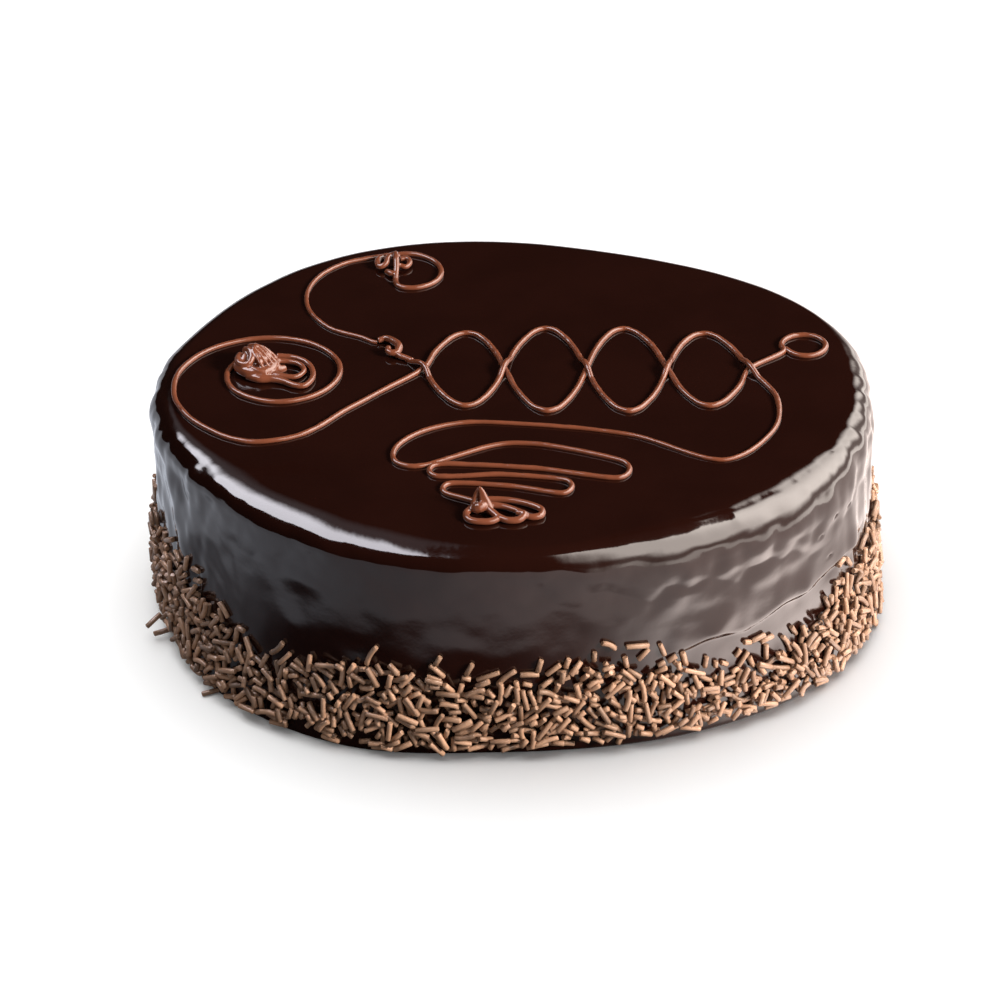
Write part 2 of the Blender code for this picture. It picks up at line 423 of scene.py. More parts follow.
@dataclass(frozen=True)
class Finish:
    """A kind of chocolate: two shades in soft patches, a gloss that varies, and a grain."""

    name: str
    shade_a: tuple
    shade_b: tuple
    patch_size: float
    smoothest: float
    dullest: float
    grain_size: float
    grain_depth: float
    specular: float = 0.5

    def build(self) -> bpy.types.Material:
        """Makes the material.

        Returns:
            The material.
        """
        material, wiring, shader = new_material(self.name)
        place = wiring.node("ShaderNodeTexCoord").outputs["Object"]
        surface = wiring.node(
            "ShaderNodeGroup",
            {
                "Place": place,
                "Patch scale": 1.0 / self.patch_size,
                "Grain scale": 1.0 / self.grain_size,
                "Colour A": (*self.shade_a, 1.0),
                "Colour B": (*self.shade_b, 1.0),
            },
            node_tree=surface_group(),
        ).outputs
        bump = wiring.node("ShaderNodeBump", {"Height": surface["Height"], "Distance": self.grain_depth})
        dullness = self.dullness(wiring, place, surface["Mask"])
        looks = {
            "Base Color": self.colour(wiring, surface["Colour"]),
            "Roughness": wiring.spread(dullness, 0.0, 1.0, self.smoothest, self.dullest),
            "Normal": bump.outputs["Normal"],
            "Specular IOR Level": self.specular,
        }
        wiring.feed(shader, looks)
        return material

    def colour(self, wiring: Wiring, patches: bpy.types.NodeSocket) -> bpy.types.NodeSocket:
        """The surface's colour, which is that of the patches."""
        return patches

    def dullness(self, wiring: Wiring, place: bpy.types.NodeSocket,
                 mask: bpy.types.NodeSocket) -> bpy.types.NodeSocket:
        """0 where the surface is smoothest and 1 where it is dullest, as the patches run."""
        return mask


@dataclass(frozen=True)
class GlazeFinish(Finish):
    """Mirror glaze: like a mirror on top, and a little duller down the side."""

    dull_below: float = 0.062
    bright_above: float = 0.074

    def dullness(self, wiring: Wiring, place: bpy.types.NodeSocket,
                 mask: bpy.types.NodeSocket) -> bpy.types.NodeSocket:
        """Spreads the dullness over the height.

        Args:
            wiring: The material's wiring.
            place: The place on the piece.
            mask: The patches.

        Returns:
            0 where the glaze is smoothest and 1 where it is dullest.
        """
        height = wiring.node("ShaderNodeSeparateXYZ", {"Vector": place}).outputs["Z"]
        low = wiring.spread(height, self.bright_above, self.dull_below, style="SMOOTHSTEP")
        return wiring.math("MULTIPLY", low, wiring.math("MULTIPLY_ADD", mask, 0.5, 0.5))


@dataclass(frozen=True)
class SprinkleFinish(Finish):
    """Pressed chocolate: each sprinkle has its own tone, kept in an attribute."""

    def colour(self, wiring: Wiring, patches: bpy.types.NodeSocket) -> bpy.types.NodeSocket:
        """The colour of the patches, lighter or darker by each sprinkle's tone."""
        tone = wiring.node("ShaderNodeAttribute", attribute_name="tone").outputs["Fac"]
        return wiring.node("ShaderNodeVectorMath", {0: patches, "Scale": tone}, operation="SCALE").outputs[0]


@dataclass
class Outline:
    """The uneven oval of the cake, as in the CAD, with the glaze that ran out round its foot."""

    half_length: float = 0.1200
    half_width: float = 0.1002
    height: float = 0.0763
    centre: tuple = (-0.0009, -0.0009)
    rim_waves: tuple = ((2, 0.0080, -90.0), (3, 0.0075, 36.9), (4, 0.0070, 94.1), (5, 0.0122, 172.5))
    foot_waves: tuple = ((1, 0.0052, 215.5), (2, 0.0050, 33.7), (3, 0.0227, -40.7))
    flat_left: tuple = ((178.0, 52.0, -0.017),)
    apron_height: float = 0.026
    apron: tuple = ((-128.0, 36.0, 0.034), (-44.0, 54.0, 0.036))

    def places(self, angle: np.ndarray, height: np.ndarray, outset: np.ndarray) -> np.ndarray:
        """Points at these heights, outset metres outside the upright wall.

        Args:
            angle: Angles round the cake, in radians.
            height: Heights above the floor.
            outset: Distances outwards from the wall.

        Returns:
            Points, with one more axis than the arguments.
        """
        angle, height, outset = np.broadcast_arrays(angle, height, outset)
        lowness = 1.0 - height / self.height
        flare = 1.0 - ramp(height, 0.0, self.apron_height)
        scale = 1.0 + waves(angle, self.rim_waves) + lowness * waves(angle, self.foot_waves)
        scale = scale + bumps(angle, self.flat_left) + flare * bumps(angle, self.apron)
        across = np.cos(angle) / self.half_length
        along = np.sin(angle) / self.half_width
        size = np.hypot(across, along)
        x = self.centre[0] + self.half_length * np.cos(angle) * scale + across / size * outset
        y = self.centre[1] + self.half_width * np.sin(angle) * scale + along / size * outset
        return np.stack((x, y, height), axis=-1)

    def walk(self, height: float, count: int) -> tuple:
        """Angles at even distances round the wall.

        Args:
            height: The height at which distances are measured.
            count: How many angles.

        Returns:
            The angles, and the way round in metres.
        """
        fine = np.linspace(0.0, 2.0 * math.pi, 4001)
        travelled = distances(self.places(fine, height, 0.0))
        wanted = np.arange(count) / count * travelled[-1]
        return np.interp(wanted, travelled, fine), float(travelled[-1])


@dataclass(frozen=True)
class SectionRow:
    """One ring of the cake's side, as its upright section gives it.

    The turn is the surface's own tilt, from 0 on the wall to a quarter turn on the top, and
    the way is how far up the wall and over the shoulder the ring is.
    """

    rise: float
    way: float
    outset: float = 0.0
    turn: float = 0.0
    over: float = 0.0
    sink: float = 0.0


class Zone(Enum):
    """Where on the glaze a layer of unevenness lies."""

    TOP = "top"
    FRONT_LEFT = "top behind the front left corner"
    WALL = "wall"
    FINE_WALL = "wall, most of all low at the right"
    SHOULDER = "shoulder"
    LOW_SHOULDER = "lower shoulder"
    DRAPED = "wall at the right end, where the glaze hangs"
    CRUMPLED = "wall at the left end, where it is crumpled"


@dataclass(frozen=True)
class Layer:
    """One layer of unevenness: its height and size in metres, and how much taller it is drawn."""

    zone: Zone
    height: float
    size: float
    seed: float
    upright: float = 1.0
    scaly: bool = False

    def pattern(self, places: np.ndarray) -> np.ndarray:
        """The layer before its zone fades it.

        Args:
            places: Points on the even form, one a row.

        Returns:
            One height for each point, in metres.
        """
        spots = places * np.array((1.0, 1.0, self.upright))
        if self.scaly:
            return self.height * (pebbles(spots, self.size, self.seed) - 0.5)
        return self.height * lumps(spots, self.size, self.seed)


@dataclass
class GlazedCake:
    """The solid cake under its poured glaze: wall, round shoulder and mirror top."""

    outline: Outline
    segments: int = 576
    foot_radius: float = 0.0015
    foot_rows: int = 3
    wall_rows: int = 84
    shoulder_radius: float = 0.0070
    shoulder_rows: int = 26
    slouches: tuple = ((-126.0, 42.0, 0.0055), (-50.0, 36.0, 0.0056))
    drops: tuple = ((-52.0, 46.0, 0.0055),)
    lobes: tuple = ((-22.0, 46.0, 0.0030),)
    lobe_size: float = 0.0110
    rim_rows: int = 14
    rim_reach: float = 0.020
    inner_rows: int = 26
    coarsest_step: int = 32
    crowded: float = 420.0
    layers: tuple = (
        Layer(Zone.TOP, 0.000220, 0.045, 3.7),
        Layer(Zone.FRONT_LEFT, 0.000286, 0.016, 8.1),
        Layer(Zone.WALL, 0.000320, 0.016, 11.3),
        Layer(Zone.FINE_WALL, 0.000320, 0.0070, 5.9),
        Layer(Zone.SHOULDER, 0.001000, 0.0105, 2.2, scaly=True),
        Layer(Zone.LOW_SHOULDER, 0.000400, 0.0055, 9.2),
        Layer(Zone.DRAPED, 0.000850, 0.0085, 6.4, 0.22),
        Layer(Zone.DRAPED, 0.0003825, 0.0042, 1.4, 0.22),
        Layer(Zone.CRUMPLED, 0.0010625, 0.0090, 7.4, 0.55),
        Layer(Zone.CRUMPLED, 0.0004675, 0.0042, 2.6, 0.55),
    )
    uneven_corner: tuple = ((-126.0, 40.0, 0.9),)
    scaly_parts: tuple = ((-32.0, 62.0, 0.78), (-168.0, 42.0, 0.5), (-131.0, 24.0, 0.22))
    ledge_swell: float = 0.0014
    ledge_start: tuple = (-64.0, 0.0330)
    ledge_end: tuple = (-18.0, 0.0430)
    pits: tuple = ((-36.0, 0.061), (-31.5, 0.0645), (-26.5, 0.062), (-33.0, 0.0475), (-152.0, 0.064))
    pit_radius: float = 0.0011
    pit_depth: float = 0.0007
    base_shares: tuple = (0.94, 0.75, 0.50, 0.25)
    base_wander: float = 0.010

    @property
    def edge(self) -> float:
        """The height at which the upright wall ends."""
        return self.outline.height - self.shoulder_radius

    @property
    def over(self) -> float:
        """How far up the wall and over the shoulder the flat top starts."""
        return self.edge + self.shoulder_radius * math.pi / 2.0

    def zones(self, angle: np.ndarray, arc: np.ndarray) -> dict:
        """How strong each zone's unevenness is.

        Args:
            angle: Angles round the cake, one for each point.
            arc: How far up the wall and over the shoulder each point is from the floor.

        Returns:
            For each zone, one number for each point.
        """
        edge, over = self.edge, self.over
        wall = 1.0 - ramp(arc, edge, over)
        top = ramp(arc, edge, over + 0.002)
        near_rim = 1.0 - ramp(arc, over + 0.010, over + 0.030)
        right = bell(angle, -32.0, 62.0)
        low = 1.0 - ramp(arc, 0.034, 0.048)
        shoulder = ramp(arc, edge - 0.024, edge - 0.002) * (1.0 - ramp(arc, over - 0.0115, over - 0.0048))
        shoulder = shoulder * (0.22 + bumps(angle, self.scaly_parts))
        return {
            Zone.TOP: top,
            Zone.FRONT_LEFT: bell(angle, -130.0, 26.0) * top * near_rim,
            Zone.WALL: wall * (1.0 + bumps(angle, self.uneven_corner)),
            Zone.FINE_WALL: wall * (0.4 + right * (0.3 + 0.8 * low)),
            Zone.SHOULDER: shoulder,
            Zone.LOW_SHOULDER: shoulder * (1.0 - ramp(arc, over - 0.006, over - 0.002)),
            Zone.DRAPED: wall * bell(angle, -4.0, 40.0),
            Zone.CRUMPLED: wall * bell(angle, -168.0, 42.0),
        }

    def swell(self, angle: np.ndarray, arc: np.ndarray, places: np.ndarray) -> np.ndarray:
        """How far the glaze stands proud of its even form.

        Args:
            angle: Angles round the cake, one for each point.
            arc: How far up the wall and over the shoulder each point is from the floor.
            places: The points on the even form.

        Returns:
            Distances along the surface's own direction, in metres.
        """
        zones = self.zones(angle, arc)
        total = sum(zones[layer.zone] * layer.pattern(places) for layer in self.layers)
        return total + self.ledge(angle, arc, places) - self.dimples(angle, arc)

    def ledge(self, angle: np.ndarray, arc: np.ndarray, places: np.ndarray) -> np.ndarray:
        """The thick lower lip where a second pour of glaze stopped, at the right.

        Args:
            angle: Angles round the cake, one for each point.
            arc: How far up the wall and over the shoulder each point is.
            places: The points on the even form.

        Returns:
            Distances along the surface's own direction, in metres.
        """
        degrees = np.degrees(np.arctan2(np.sin(angle), np.cos(angle)))
        (first, low), (last, high) = self.ledge_start, self.ledge_end
        share = (degrees - first) / (last - first)
        flat = places * np.array((1.0, 1.0, 0.0))
        above = arc - (low + (high - low) * share + 0.0034 * lumps(flat, 0.014, 4.2))
        thick = np.clip(0.55 + 1.3 * lumps(flat, 0.010, 8.8), 0.0, 1.3)
        lip = ramp(above, -0.0010, 0.0011) * (1.0 - ramp(above, 0.0011, 0.016))
        ends = ramp(share, -0.10, 0.12) * (1.0 - ramp(share, 0.9, 1.15))
        return self.ledge_swell * thick * lip * ends

    def dimples(self, angle: np.ndarray, arc: np.ndarray) -> np.ndarray:
        """How deep the pits are that burst bubbles left in the glaze.

        Args:
            angle: Angles round the cake, one for each point.
            arc: How far up the wall and over the shoulder each point is.

        Returns:
            Depths, in metres.
        """
        total = np.zeros_like(arc)
        for degrees, height in self.pits:
            away = np.arccos(np.clip(np.cos(angle - math.radians(degrees)), -1.0, 1.0))
            distance = np.hypot(away * self.outline.half_width, arc - height)
            total += self.pit_depth * (1.0 - ramp(distance, 0.0, self.pit_radius))
        return total

    def shoulder_depth(self, angle: np.ndarray) -> np.ndarray:
        """How far in from the wall the round shoulder starts: further at both front corners.

        Args:
            angle: Angles round the cake.

        Returns:
            Distances inwards, in metres. At the right they run in and out in round lobes.
        """
        around = self.outline.places(angle, 0.0, 0.0)
        lobes = pebbles(around, self.lobe_size, 6.6) + 0.2 * pebbles(around, 0.45 * self.lobe_size, 3.1)
        depth = self.shoulder_radius + bumps(angle, self.slouches)
        return depth + bumps(angle, self.lobes) * (lobes - 0.60)

    def wall_outset(self, angle: np.ndarray, height: np.ndarray) -> np.ndarray:
        """How far the glaze stands out from the even wall at heights below the shoulder."""
        return self.swell(angle, height, self.outline.places(angle, height, 0.0))

    def top_level(self, spots: np.ndarray) -> np.ndarray:
        """The height of the glaze at these spots on the top.

        Args:
            spots: Points on the plan, one a row.

        Returns:
            One height for each spot.
        """
        outline = self.outline
        places = np.column_stack((spots[:, :2], np.full(len(spots), outline.height)))
        angle = np.arctan2(spots[:, 1] / outline.half_width, spots[:, 0] / outline.half_length)
        return outline.height + self.swell(angle, np.full(len(spots), 1.0), places)

    def side_rows(self, angle: np.ndarray) -> list:
        """Rings from the foot to the inner edge of the shoulder.

        Args:
            angle: Angles round the cake.

        Returns:
            One array of points for each ring.
        """
        drop = bumps(angle, self.drops)
        depth = self.shoulder_depth(angle)
        rings = []
        for row in self.section():
            outset = row.outset - row.over * depth
            level = row.rise - row.sink * drop
            even = self.outline.places(angle, level, outset)
            proud = self.swell(angle, np.full_like(angle, row.way), even) * ramp(row.rise, 0.0, 0.004)
            up = level + proud * max(0.0, math.sin(row.turn))
            rings.append(self.outline.places(angle, up, outset + proud * math.cos(row.turn)))
        return rings

    def section(self) -> list:
        """The upright section: the rounded foot, the wall and the shoulder.

        Returns:
            One row for each ring, from the floor up.
        """
        foot, edge, radius = self.foot_radius, self.edge, self.shoulder_radius
        rows = []
        for step in range(self.foot_rows + 1):
            turn = math.pi / 2.0 * (1.0 - step / self.foot_rows)
            rise = foot * (1.0 - math.sin(turn))
            rows.append(SectionRow(rise, rise, -foot * (1.0 - math.cos(turn)), -turn))
        for step in range(1, self.wall_rows + 1):
            rise = foot + (edge - foot) * step / self.wall_rows
            rows.append(SectionRow(rise, rise, sink=ramp(rise, 0.5 * edge, edge)))
        for step in range(1, self.shoulder_rows + 1):
            turn = math.pi / 2.0 * step / self.shoulder_rows
            level, inwards = math.sin(turn), 1.0 - math.cos(turn)
            rise, way = edge + radius * level, edge + radius * turn
            rows.append(SectionRow(rise, way, 0.0, turn, inwards, 1.0 - level))
        return rows

    def top_rows(self, rim: np.ndarray, angle: np.ndarray) -> list:
        """Rings from the shoulder to the middle of the top, with fewer points as they shrink.

        Args:
            rim: The last ring of the shoulder, on the even form.
            angle: Angles round the cake.

        Returns:
            One array of points for each ring, and the middle as the last one.
        """
        middle = np.array((*self.outline.centre, self.outline.height))
        reach = np.linalg.norm((rim - middle)[:, :2], axis=1).mean()
        fine = self.rim_reach / reach
        shares = [1.0 - fine * row / self.rim_rows for row in range(1, self.rim_rows + 1)]
        shares += [(1.0 - fine) * (1.0 - row / self.inner_rows) for row in range(1, self.inner_rows)]
        rings = []
        step = 1
        for share in shares:
            while (step < self.coarsest_step and share < 0.75 / step
                   and share * len(rim) / step > self.crowded / step ** 0.25):
                step *= 2
            rings.append(middle + (rim[::step] - middle) * share)
            way = np.full(len(rings[-1]), self.over + (1.0 - share) * reach)
            rings[-1][:, 2] = self.outline.height
            rings[-1][:, 2] += self.swell(angle[::step], way, rings[-1])
        centre = middle[None, :].copy()
        centre[:, 2] += self.swell(np.zeros(1), np.full(1, self.over + reach), middle[None, :])
        return [*rings, centre]

    def build(self, glaze: Finish, sponge: Finish) -> bpy.types.Object:
        """Makes the closed mesh of the cake.

        Args:
            glaze: The finish of what shows.
            sponge: The finish of the bare underside.

        Returns:
            The dressed piece, at the origin.
        """
        angle, _ = self.outline.walk(0.04, self.segments)
        even_rim = self.outline.places(angle, self.outline.height, -self.shoulder_depth(angle))
        rings = self.side_rows(angle) + self.top_rows(even_rim, angle)
        shape = bmesh.new()
        rows = [[shape.verts.new(point) for point in ring] for ring in rings]
        for outer, inner in zip(rows, rows[1:]):
            self.join(shape, outer, inner)
        self.underside(shape, rows[0])
        piece = add_shape("glazed_cake_visual", shape)
        piece.data.shade_smooth()
        for finish in (glaze, sponge):
            piece.data.materials.append(finish.build())
        return piece

    @staticmethod
    def join(shape: bmesh.types.BMesh, outer: list, inner: list) -> None:
        """Faces between two rings, where the inner one may have fewer points.

        Args:
            shape: The mesh in the making.
            outer: The lower or outer ring.
            inner: The next ring, with as many points, half as many, or one.
        """
        count = len(outer)
        every = count // len(inner)
        for index in range(count):
            corners = [outer[index], outer[(index + 1) % count], inner[index // every]]
            if len(inner) > 1 and index % every == every - 1:
                corners.insert(2, inner[(index // every + 1) % len(inner)])
            shape.faces.new(corners)

    def underside(self, shape: bmesh.types.BMesh, foot: list) -> None:
        """The flat base: a rim of glaze with a ragged edge, and bare sponge inside it.

        Args:
            shape: The mesh in the making.
            foot: The ring of points that stands on the floor.
        """
        middle = Vector((*self.outline.centre, 0.0))
        outer = list(reversed(foot))
        spokes = [vertex.co - middle for vertex in outer]
        glazed = len(shape.faces) + len(foot)
        wander = self.base_wander
        for share in self.base_shares:
            inner = [
                shape.verts.new(middle + spoke * (share + wander * noise.noise(spoke / 0.018)))
                for spoke in spokes
            ]
            self.join(shape, outer, inner)
            outer = inner
            spokes = spokes[::2]
            wander = 0.0
        self.join(shape, outer, [shape.verts.new(middle)])
        shape.faces.ensure_lookup_table()
        for face in shape.faces[glazed:]:
            face.material_index = 1


class SprinkleKind(Enum):
    """The shapes of sprinkle, each of which becomes one piece."""

    LONG = "long_sprinkles"
    BENT = "bent_sprinkles"
    SHORT = "short_sprinkles"


@dataclass(frozen=True)
class SprinkleShape:
    """One sprinkle as it is pressed, a unit long and a unit in radius."""

    rings: int
    bend: float
    lengths: tuple
    share: float
    sides: int = 7
    broken: tuple = (0.035, 0.78)

    def build(self, name: str) -> bpy.types.Object:
        """A rod along X with slightly broken edges, bent along Y.

        Args:
            name: The object's name.

        Returns:
            The object that the others are copies of.
        """
        depth, narrow = self.broken
        whole = 1.0 - 2.0 * depth
        stations = [(depth - 0.5 + whole * ring / (self.rings + 1), 1.0) for ring in range(self.rings + 2)]
        shape = bmesh.new()
        rows = []
        for along, radius in [(-0.5, narrow), *stations, (0.5, narrow)]:
            row = []
            for side in range(self.sides):
                turn = 2.0 * math.pi * side / self.sides
                across = radius * math.cos(turn) + self.bend * (0.5 - 2.0 * along * along)
                row.append(shape.verts.new((along, across, radius * math.sin(turn))))
            rows.append(row)
        for near, far in zip(rows, rows[1:]):
            for side in range(self.sides):
                after = (side + 1) % self.sides
                face = shape.faces.new((near[side], near[after], far[after], far[side]))
                face.smooth = True
        shape.faces.new(rows[0])
        shape.faces.new(list(reversed(rows[-1])))
        bmesh.ops.recalc_face_normals(shape, faces=shape.faces)
        return add_shape(name, shape)


@dataclass
class Sprinkle:
    """One sprinkle: where on the wall it is, its turn and size, and how it rests."""

    along: float
    up: float
    turn: float
    length: float
    radius: float
    tone: float
    distance: float = 0.0
    slope: float = 0.0

    def forward(self) -> tuple:
        """Its direction on the wall, along and up."""
        return math.cos(self.turn), math.sin(self.turn)

    def lowest(self) -> float:
        """The height of its lowest point."""
        return self.up - 0.5 * self.length * abs(math.sin(self.turn)) - self.radius

    def outmost(self) -> float:
        """How far its outermost point is from the even wall."""
        return self.distance + abs(self.slope) * 0.5 * self.length + self.radius


@dataclass
class Heap:
    """Sprinkles thrown one after the other at the wall, each resting on what is there."""

    outline: Outline
    cake: GlazedCake
    cell: float = 0.0004
    rows: int = 150
    columns: int = 1740
    radius: float = 0.00088
    sink: float = 0.00025
    steepest: float = 0.75
    samples: int = 12
    empty: float = -1.0
    angles: np.ndarray = field(init=False)
    length: float = field(init=False)
    pitch: float = field(init=False)
    levels: np.ndarray = field(init=False)

    def __post_init__(self) -> None:
        """Lays out the wall as a field of levels over distance round and height."""
        self.angles, self.length = self.outline.walk(0.015, self.columns)
        self.pitch = self.length / self.columns
        heights = (np.arange(self.rows) + 0.5) * self.cell
        angle, height = np.meshgrid(self.angles, heights)
        flat = self.cake.wall_outset(angle.ravel(), height.ravel())
        self.levels = flat.reshape(angle.shape) - self.sink

    def angle_at(self, along: float) -> float:
        """The angle round the cake, in radians, at a distance round the wall."""
        whole = np.append(self.angles, 2.0 * math.pi)
        return float(np.interp((along / self.pitch) % self.columns, np.arange(self.columns + 1), whole))

    def look_up(self, along: np.ndarray, up: np.ndarray) -> np.ndarray:
        """Reads how far what is there stands out.

        Args:
            along: Distances round the wall.
            up: Heights, in the same shape.

        Returns:
            Distances from the even wall.
        """
        column = np.floor(along / self.pitch).astype(int) % self.columns
        row = np.clip(np.floor(up / self.cell).astype(int), 0, self.rows - 1)
        return self.levels[row, column]

    def rest(self, piece: Sprinkle) -> bool:
        """Lets a sprinkle come to rest on the field, touching it on both sides of its middle.

        Args:
            piece: The sprinkle, whose distance and slope are set.

        Returns:
            Whether it stays, rather than slips off a slope that is too steep.
        """
        forward = piece.forward()
        spots = ((np.arange(self.samples) + 0.5) / self.samples * 2.0 - 1.0) * 0.5 * piece.length
        support = np.full(self.samples, self.empty)
        for aside, rise in ((0.0, 1.0), (-0.6, 0.8), (0.6, 0.8)):
            x = piece.along + spots * forward[0] - aside * piece.radius * forward[1]
            z = piece.up + spots * forward[1] + aside * piece.radius * forward[0]
            support = np.maximum(support, self.look_up(x, z) + rise * piece.radius)
        half = self.samples // 2
        left, right = spots[:half, None], spots[None, half:]
        low, high = support[:half, None], support[None, half:]
        middle = (low * right - high * left) / (right - left)
        best = np.unravel_index(int(np.argmax(middle)), middle.shape)
        piece.slope = float((high - low)[best] / (right - left)[best])
        piece.distance = float(middle[best])
        return abs(piece.slope) <= self.steepest

    def settle(self, piece: Sprinkle) -> None:
        """Adds a sprinkle that has come to rest to the field.

        Args:
            piece: The sprinkle.
        """
        forward = piece.forward()
        reach = 0.5 * piece.length + piece.radius
        across = int(reach * abs(forward[0]) / self.pitch) + 4
        over = int(reach * abs(forward[1]) / self.cell) + 4
        column = int(piece.along / self.pitch)
        row = int(piece.up / self.cell)
        columns = np.arange(column - across, column + across + 1)
        rows = np.arange(max(0, row - over), min(self.rows, row + over + 1))
        x = ((columns + 0.5) * self.pitch - piece.along)[None, :]
        z = ((rows + 0.5) * self.cell - piece.up)[:, None]
        ahead = x * forward[0] + z * forward[1]
        aside = z * forward[0] - x * forward[1]
        inside = (np.abs(ahead) <= 0.5 * piece.length) & (np.abs(aside) < piece.radius)
        back = np.sqrt(np.maximum(piece.radius**2 - aside**2, 0.0))
        level = np.where(inside, piece.distance + piece.slope * ahead + back, self.empty)
        where = np.ix_(rows, columns % self.columns)
        self.levels[where] = np.maximum(self.levels[where], level)

    def ends(self, piece: Sprinkle) -> list:
        """Finds where a resting sprinkle's two ends are in space.

        Args:
            piece: The sprinkle.

        Returns:
            The two ends.
        """
        found = []
        for way in (-0.5 * piece.length, 0.5 * piece.length):
            angle = self.angle_at(piece.along + way * math.cos(piece.turn))
            height = piece.up + way * math.sin(piece.turn)
            outset = piece.distance + piece.slope * way
            found.append(Vector(self.outline.places(angle, height, outset)))
        return found


@dataclass
class SprinkleBand:
    """The band of sprinkles round the foot, thick in its belly and stray along its edge."""

    outline: Outline
    cake: GlazedCake
    seed: int = 7
    throws: int = 16000
    wanted: int = 5200
    thickest: float = 0.0048
    edge_height: float = 0.0335
    edge_waves: tuple = ((2, 0.0020, 0.0), (4, 0.0045, 0.0), (9, 0.0026, 72.0), (23, 0.0012, 40.0))
    edge_softness: float = 0.0095
    edge_strays: float = 0.03
    bare_foot: float = 0.0042
    unevenness: float = 0.00010
    strays: tuple = (
        ((-0.1014, -0.0702, 0.0010), (-0.0938, -0.0675, 0.0014)),
        ((-0.1216, -0.0404, 0.0062), (-0.1172, -0.0366, 0.0088)),
        ((-0.1196, -0.0392, 0.0024), (-0.1146, -0.0388, 0.0040)),
    )
    shapes: dict = field(default_factory=lambda: {
        SprinkleKind.LONG: SprinkleShape(1, 0.0, (0.0042, 0.0078), 0.52),
        SprinkleKind.BENT: SprinkleShape(3, 1.1, (0.0045, 0.0085), 0.16),
        SprinkleKind.SHORT: SprinkleShape(1, 0.0, (0.0022, 0.0042), 0.32),
    })

    def throw(self) -> dict:
        """Throws the sprinkles at the wall.

        Returns:
            For each kind, rows of place, turn, size and tone.
        """
        chance = np.random.default_rng(self.seed)
        heap = Heap(self.outline, self.cake)
        kinds = list(self.shapes)
        shares = np.array([self.shapes[kind].share for kind in kinds])
        found = {kind: [] for kind in kinds}
        count = 0
        for _ in range(self.throws):
            if count >= self.wanted:
                break
            kind = kinds[int(chance.choice(len(kinds), p=shares / shares.sum()))]
            piece = self.pick(kind, heap, chance)
            if piece is not None:
                heap.settle(piece)
                found[kind].append(self.pose(*heap.ends(piece), piece, chance))
                count += 1
        for start, end in self.strays:
            near, far = Vector(start), Vector(end)
            piece = Sprinkle(0.0, 0.0, 0.0, (far - near).length, heap.radius, 0.9)
            found[SprinkleKind.LONG].append(self.pose(near, far, piece, chance))
        LOG.info("%d sprinkles came to rest, and %d lie loose", count, len(self.strays))
        return found

    def pick(self, kind: SprinkleKind, heap: Heap, chance: np.random.Generator) -> Sprinkle | None:
        """Picks a sprinkle and throws it.

        Args:
            kind: Its kind.
            heap: What it falls on.
            chance: The source of chance.

        Returns:
            The sprinkle at rest, or None where it falls off or doesn't belong.
        """
        along = float(chance.uniform(0.0, heap.length))
        angle = np.array(heap.angle_at(along))
        edge = self.edge_height + float(waves(angle, self.edge_waves))
        up = float(chance.uniform(0.0, 1.0) ** 1.1) * (edge + 0.004)
        turn = float(chance.uniform(0.0, math.pi))
        length = float(chance.uniform(*self.shapes[kind].lengths))
        radius = heap.radius * float(chance.uniform(0.92, 1.08))
        tone = float(np.clip(chance.normal(1.0, 0.21), 0.5, 1.5))
        piece = Sprinkle(along, up, turn, length, radius, tone)
        luck = float(chance.uniform(0.0, 1.0))
        soft = self.edge_softness * (1.0 + 1.1 * float(bell(angle, -30.0, 55.0)))
        fade = float(ramp(np.array(up), edge - soft, edge + 0.0025))
        if luck > (1.0 - fade) ** 1.8 + self.edge_strays:
            return None
        foot = self.bare_foot * float(bell(angle, -90.0, 88.0) * chance.uniform(0.2, 1.2))
        if piece.lowest() < 0.0002 + foot or not heap.rest(piece):
            return None
        return piece if piece.outmost() <= self.limit(up, edge) else None

    def limit(self, up: float, edge: float) -> float:
        """The furthest that a sprinkle may stand out.

        Args:
            up: Its height.
            edge: The height of the band's edge there.

        Returns:
            The distance from the even wall.
        """
        rise = min(1.0, up / edge)
        fullness = 0.50 + 0.50 * math.sqrt(1.0 - rise**2)
        fullness *= 0.55 + 0.45 * min(1.0, rise / 0.22)
        return self.thickest * fullness + 0.0004

    def pose(self, near: Vector, far: Vector, piece: Sprinkle, chance: np.random.Generator) -> tuple:
        """Where a sprinkle is in space.

        Args:
            near: One end.
            far: The other end.
            piece: The sprinkle.
            chance: The source of chance, which says which way a bent one bends.

        Returns:
            Its place, its Euler turn, its size and its tone.
        """
        forward = (far - near).normalized()
        middle = (near + far) / 2.0
        across = middle.x / self.outline.half_length**2
        outward = Vector((across, middle.y / self.outline.half_width**2, 0.0))
        side = outward.cross(forward).normalized()
        rise = forward.cross(side).normalized()
        if chance.uniform() < 0.5:
            side, rise = -side, -rise
        turn = Matrix((forward, side, rise)).transposed().to_euler()
        return tuple(middle), tuple(turn), (piece.length, piece.radius, piece.radius), piece.tone

    def build(self, finish: Finish) -> list:
        """Makes one dressed piece for each kind of sprinkle.

        Args:
            finish: The sprinkles' finish.

        Returns:
            The pieces.
        """
        pieces = []
        tree = self.copies_tree()
        material = finish.build()
        for kind, rows in self.throw().items():
            original = self.shapes[kind].build(kind.value + "_original")
            middles, turns, sizes, tones = zip(*rows)
            holder = add_mesh(kind.value + "_places", middles, [], [])
            store(holder, "turn", "FLOAT_VECTOR", turns)
            store(holder, "size", "FLOAT_VECTOR", sizes)
            store(holder, "tone", "FLOAT", tones)
            values = {"Shape": original, "Unevenness": self.unevenness, "Material": material}
            pieces.append(run_tree(holder, tree, values, kind.value))
            discard(original)
        return pieces

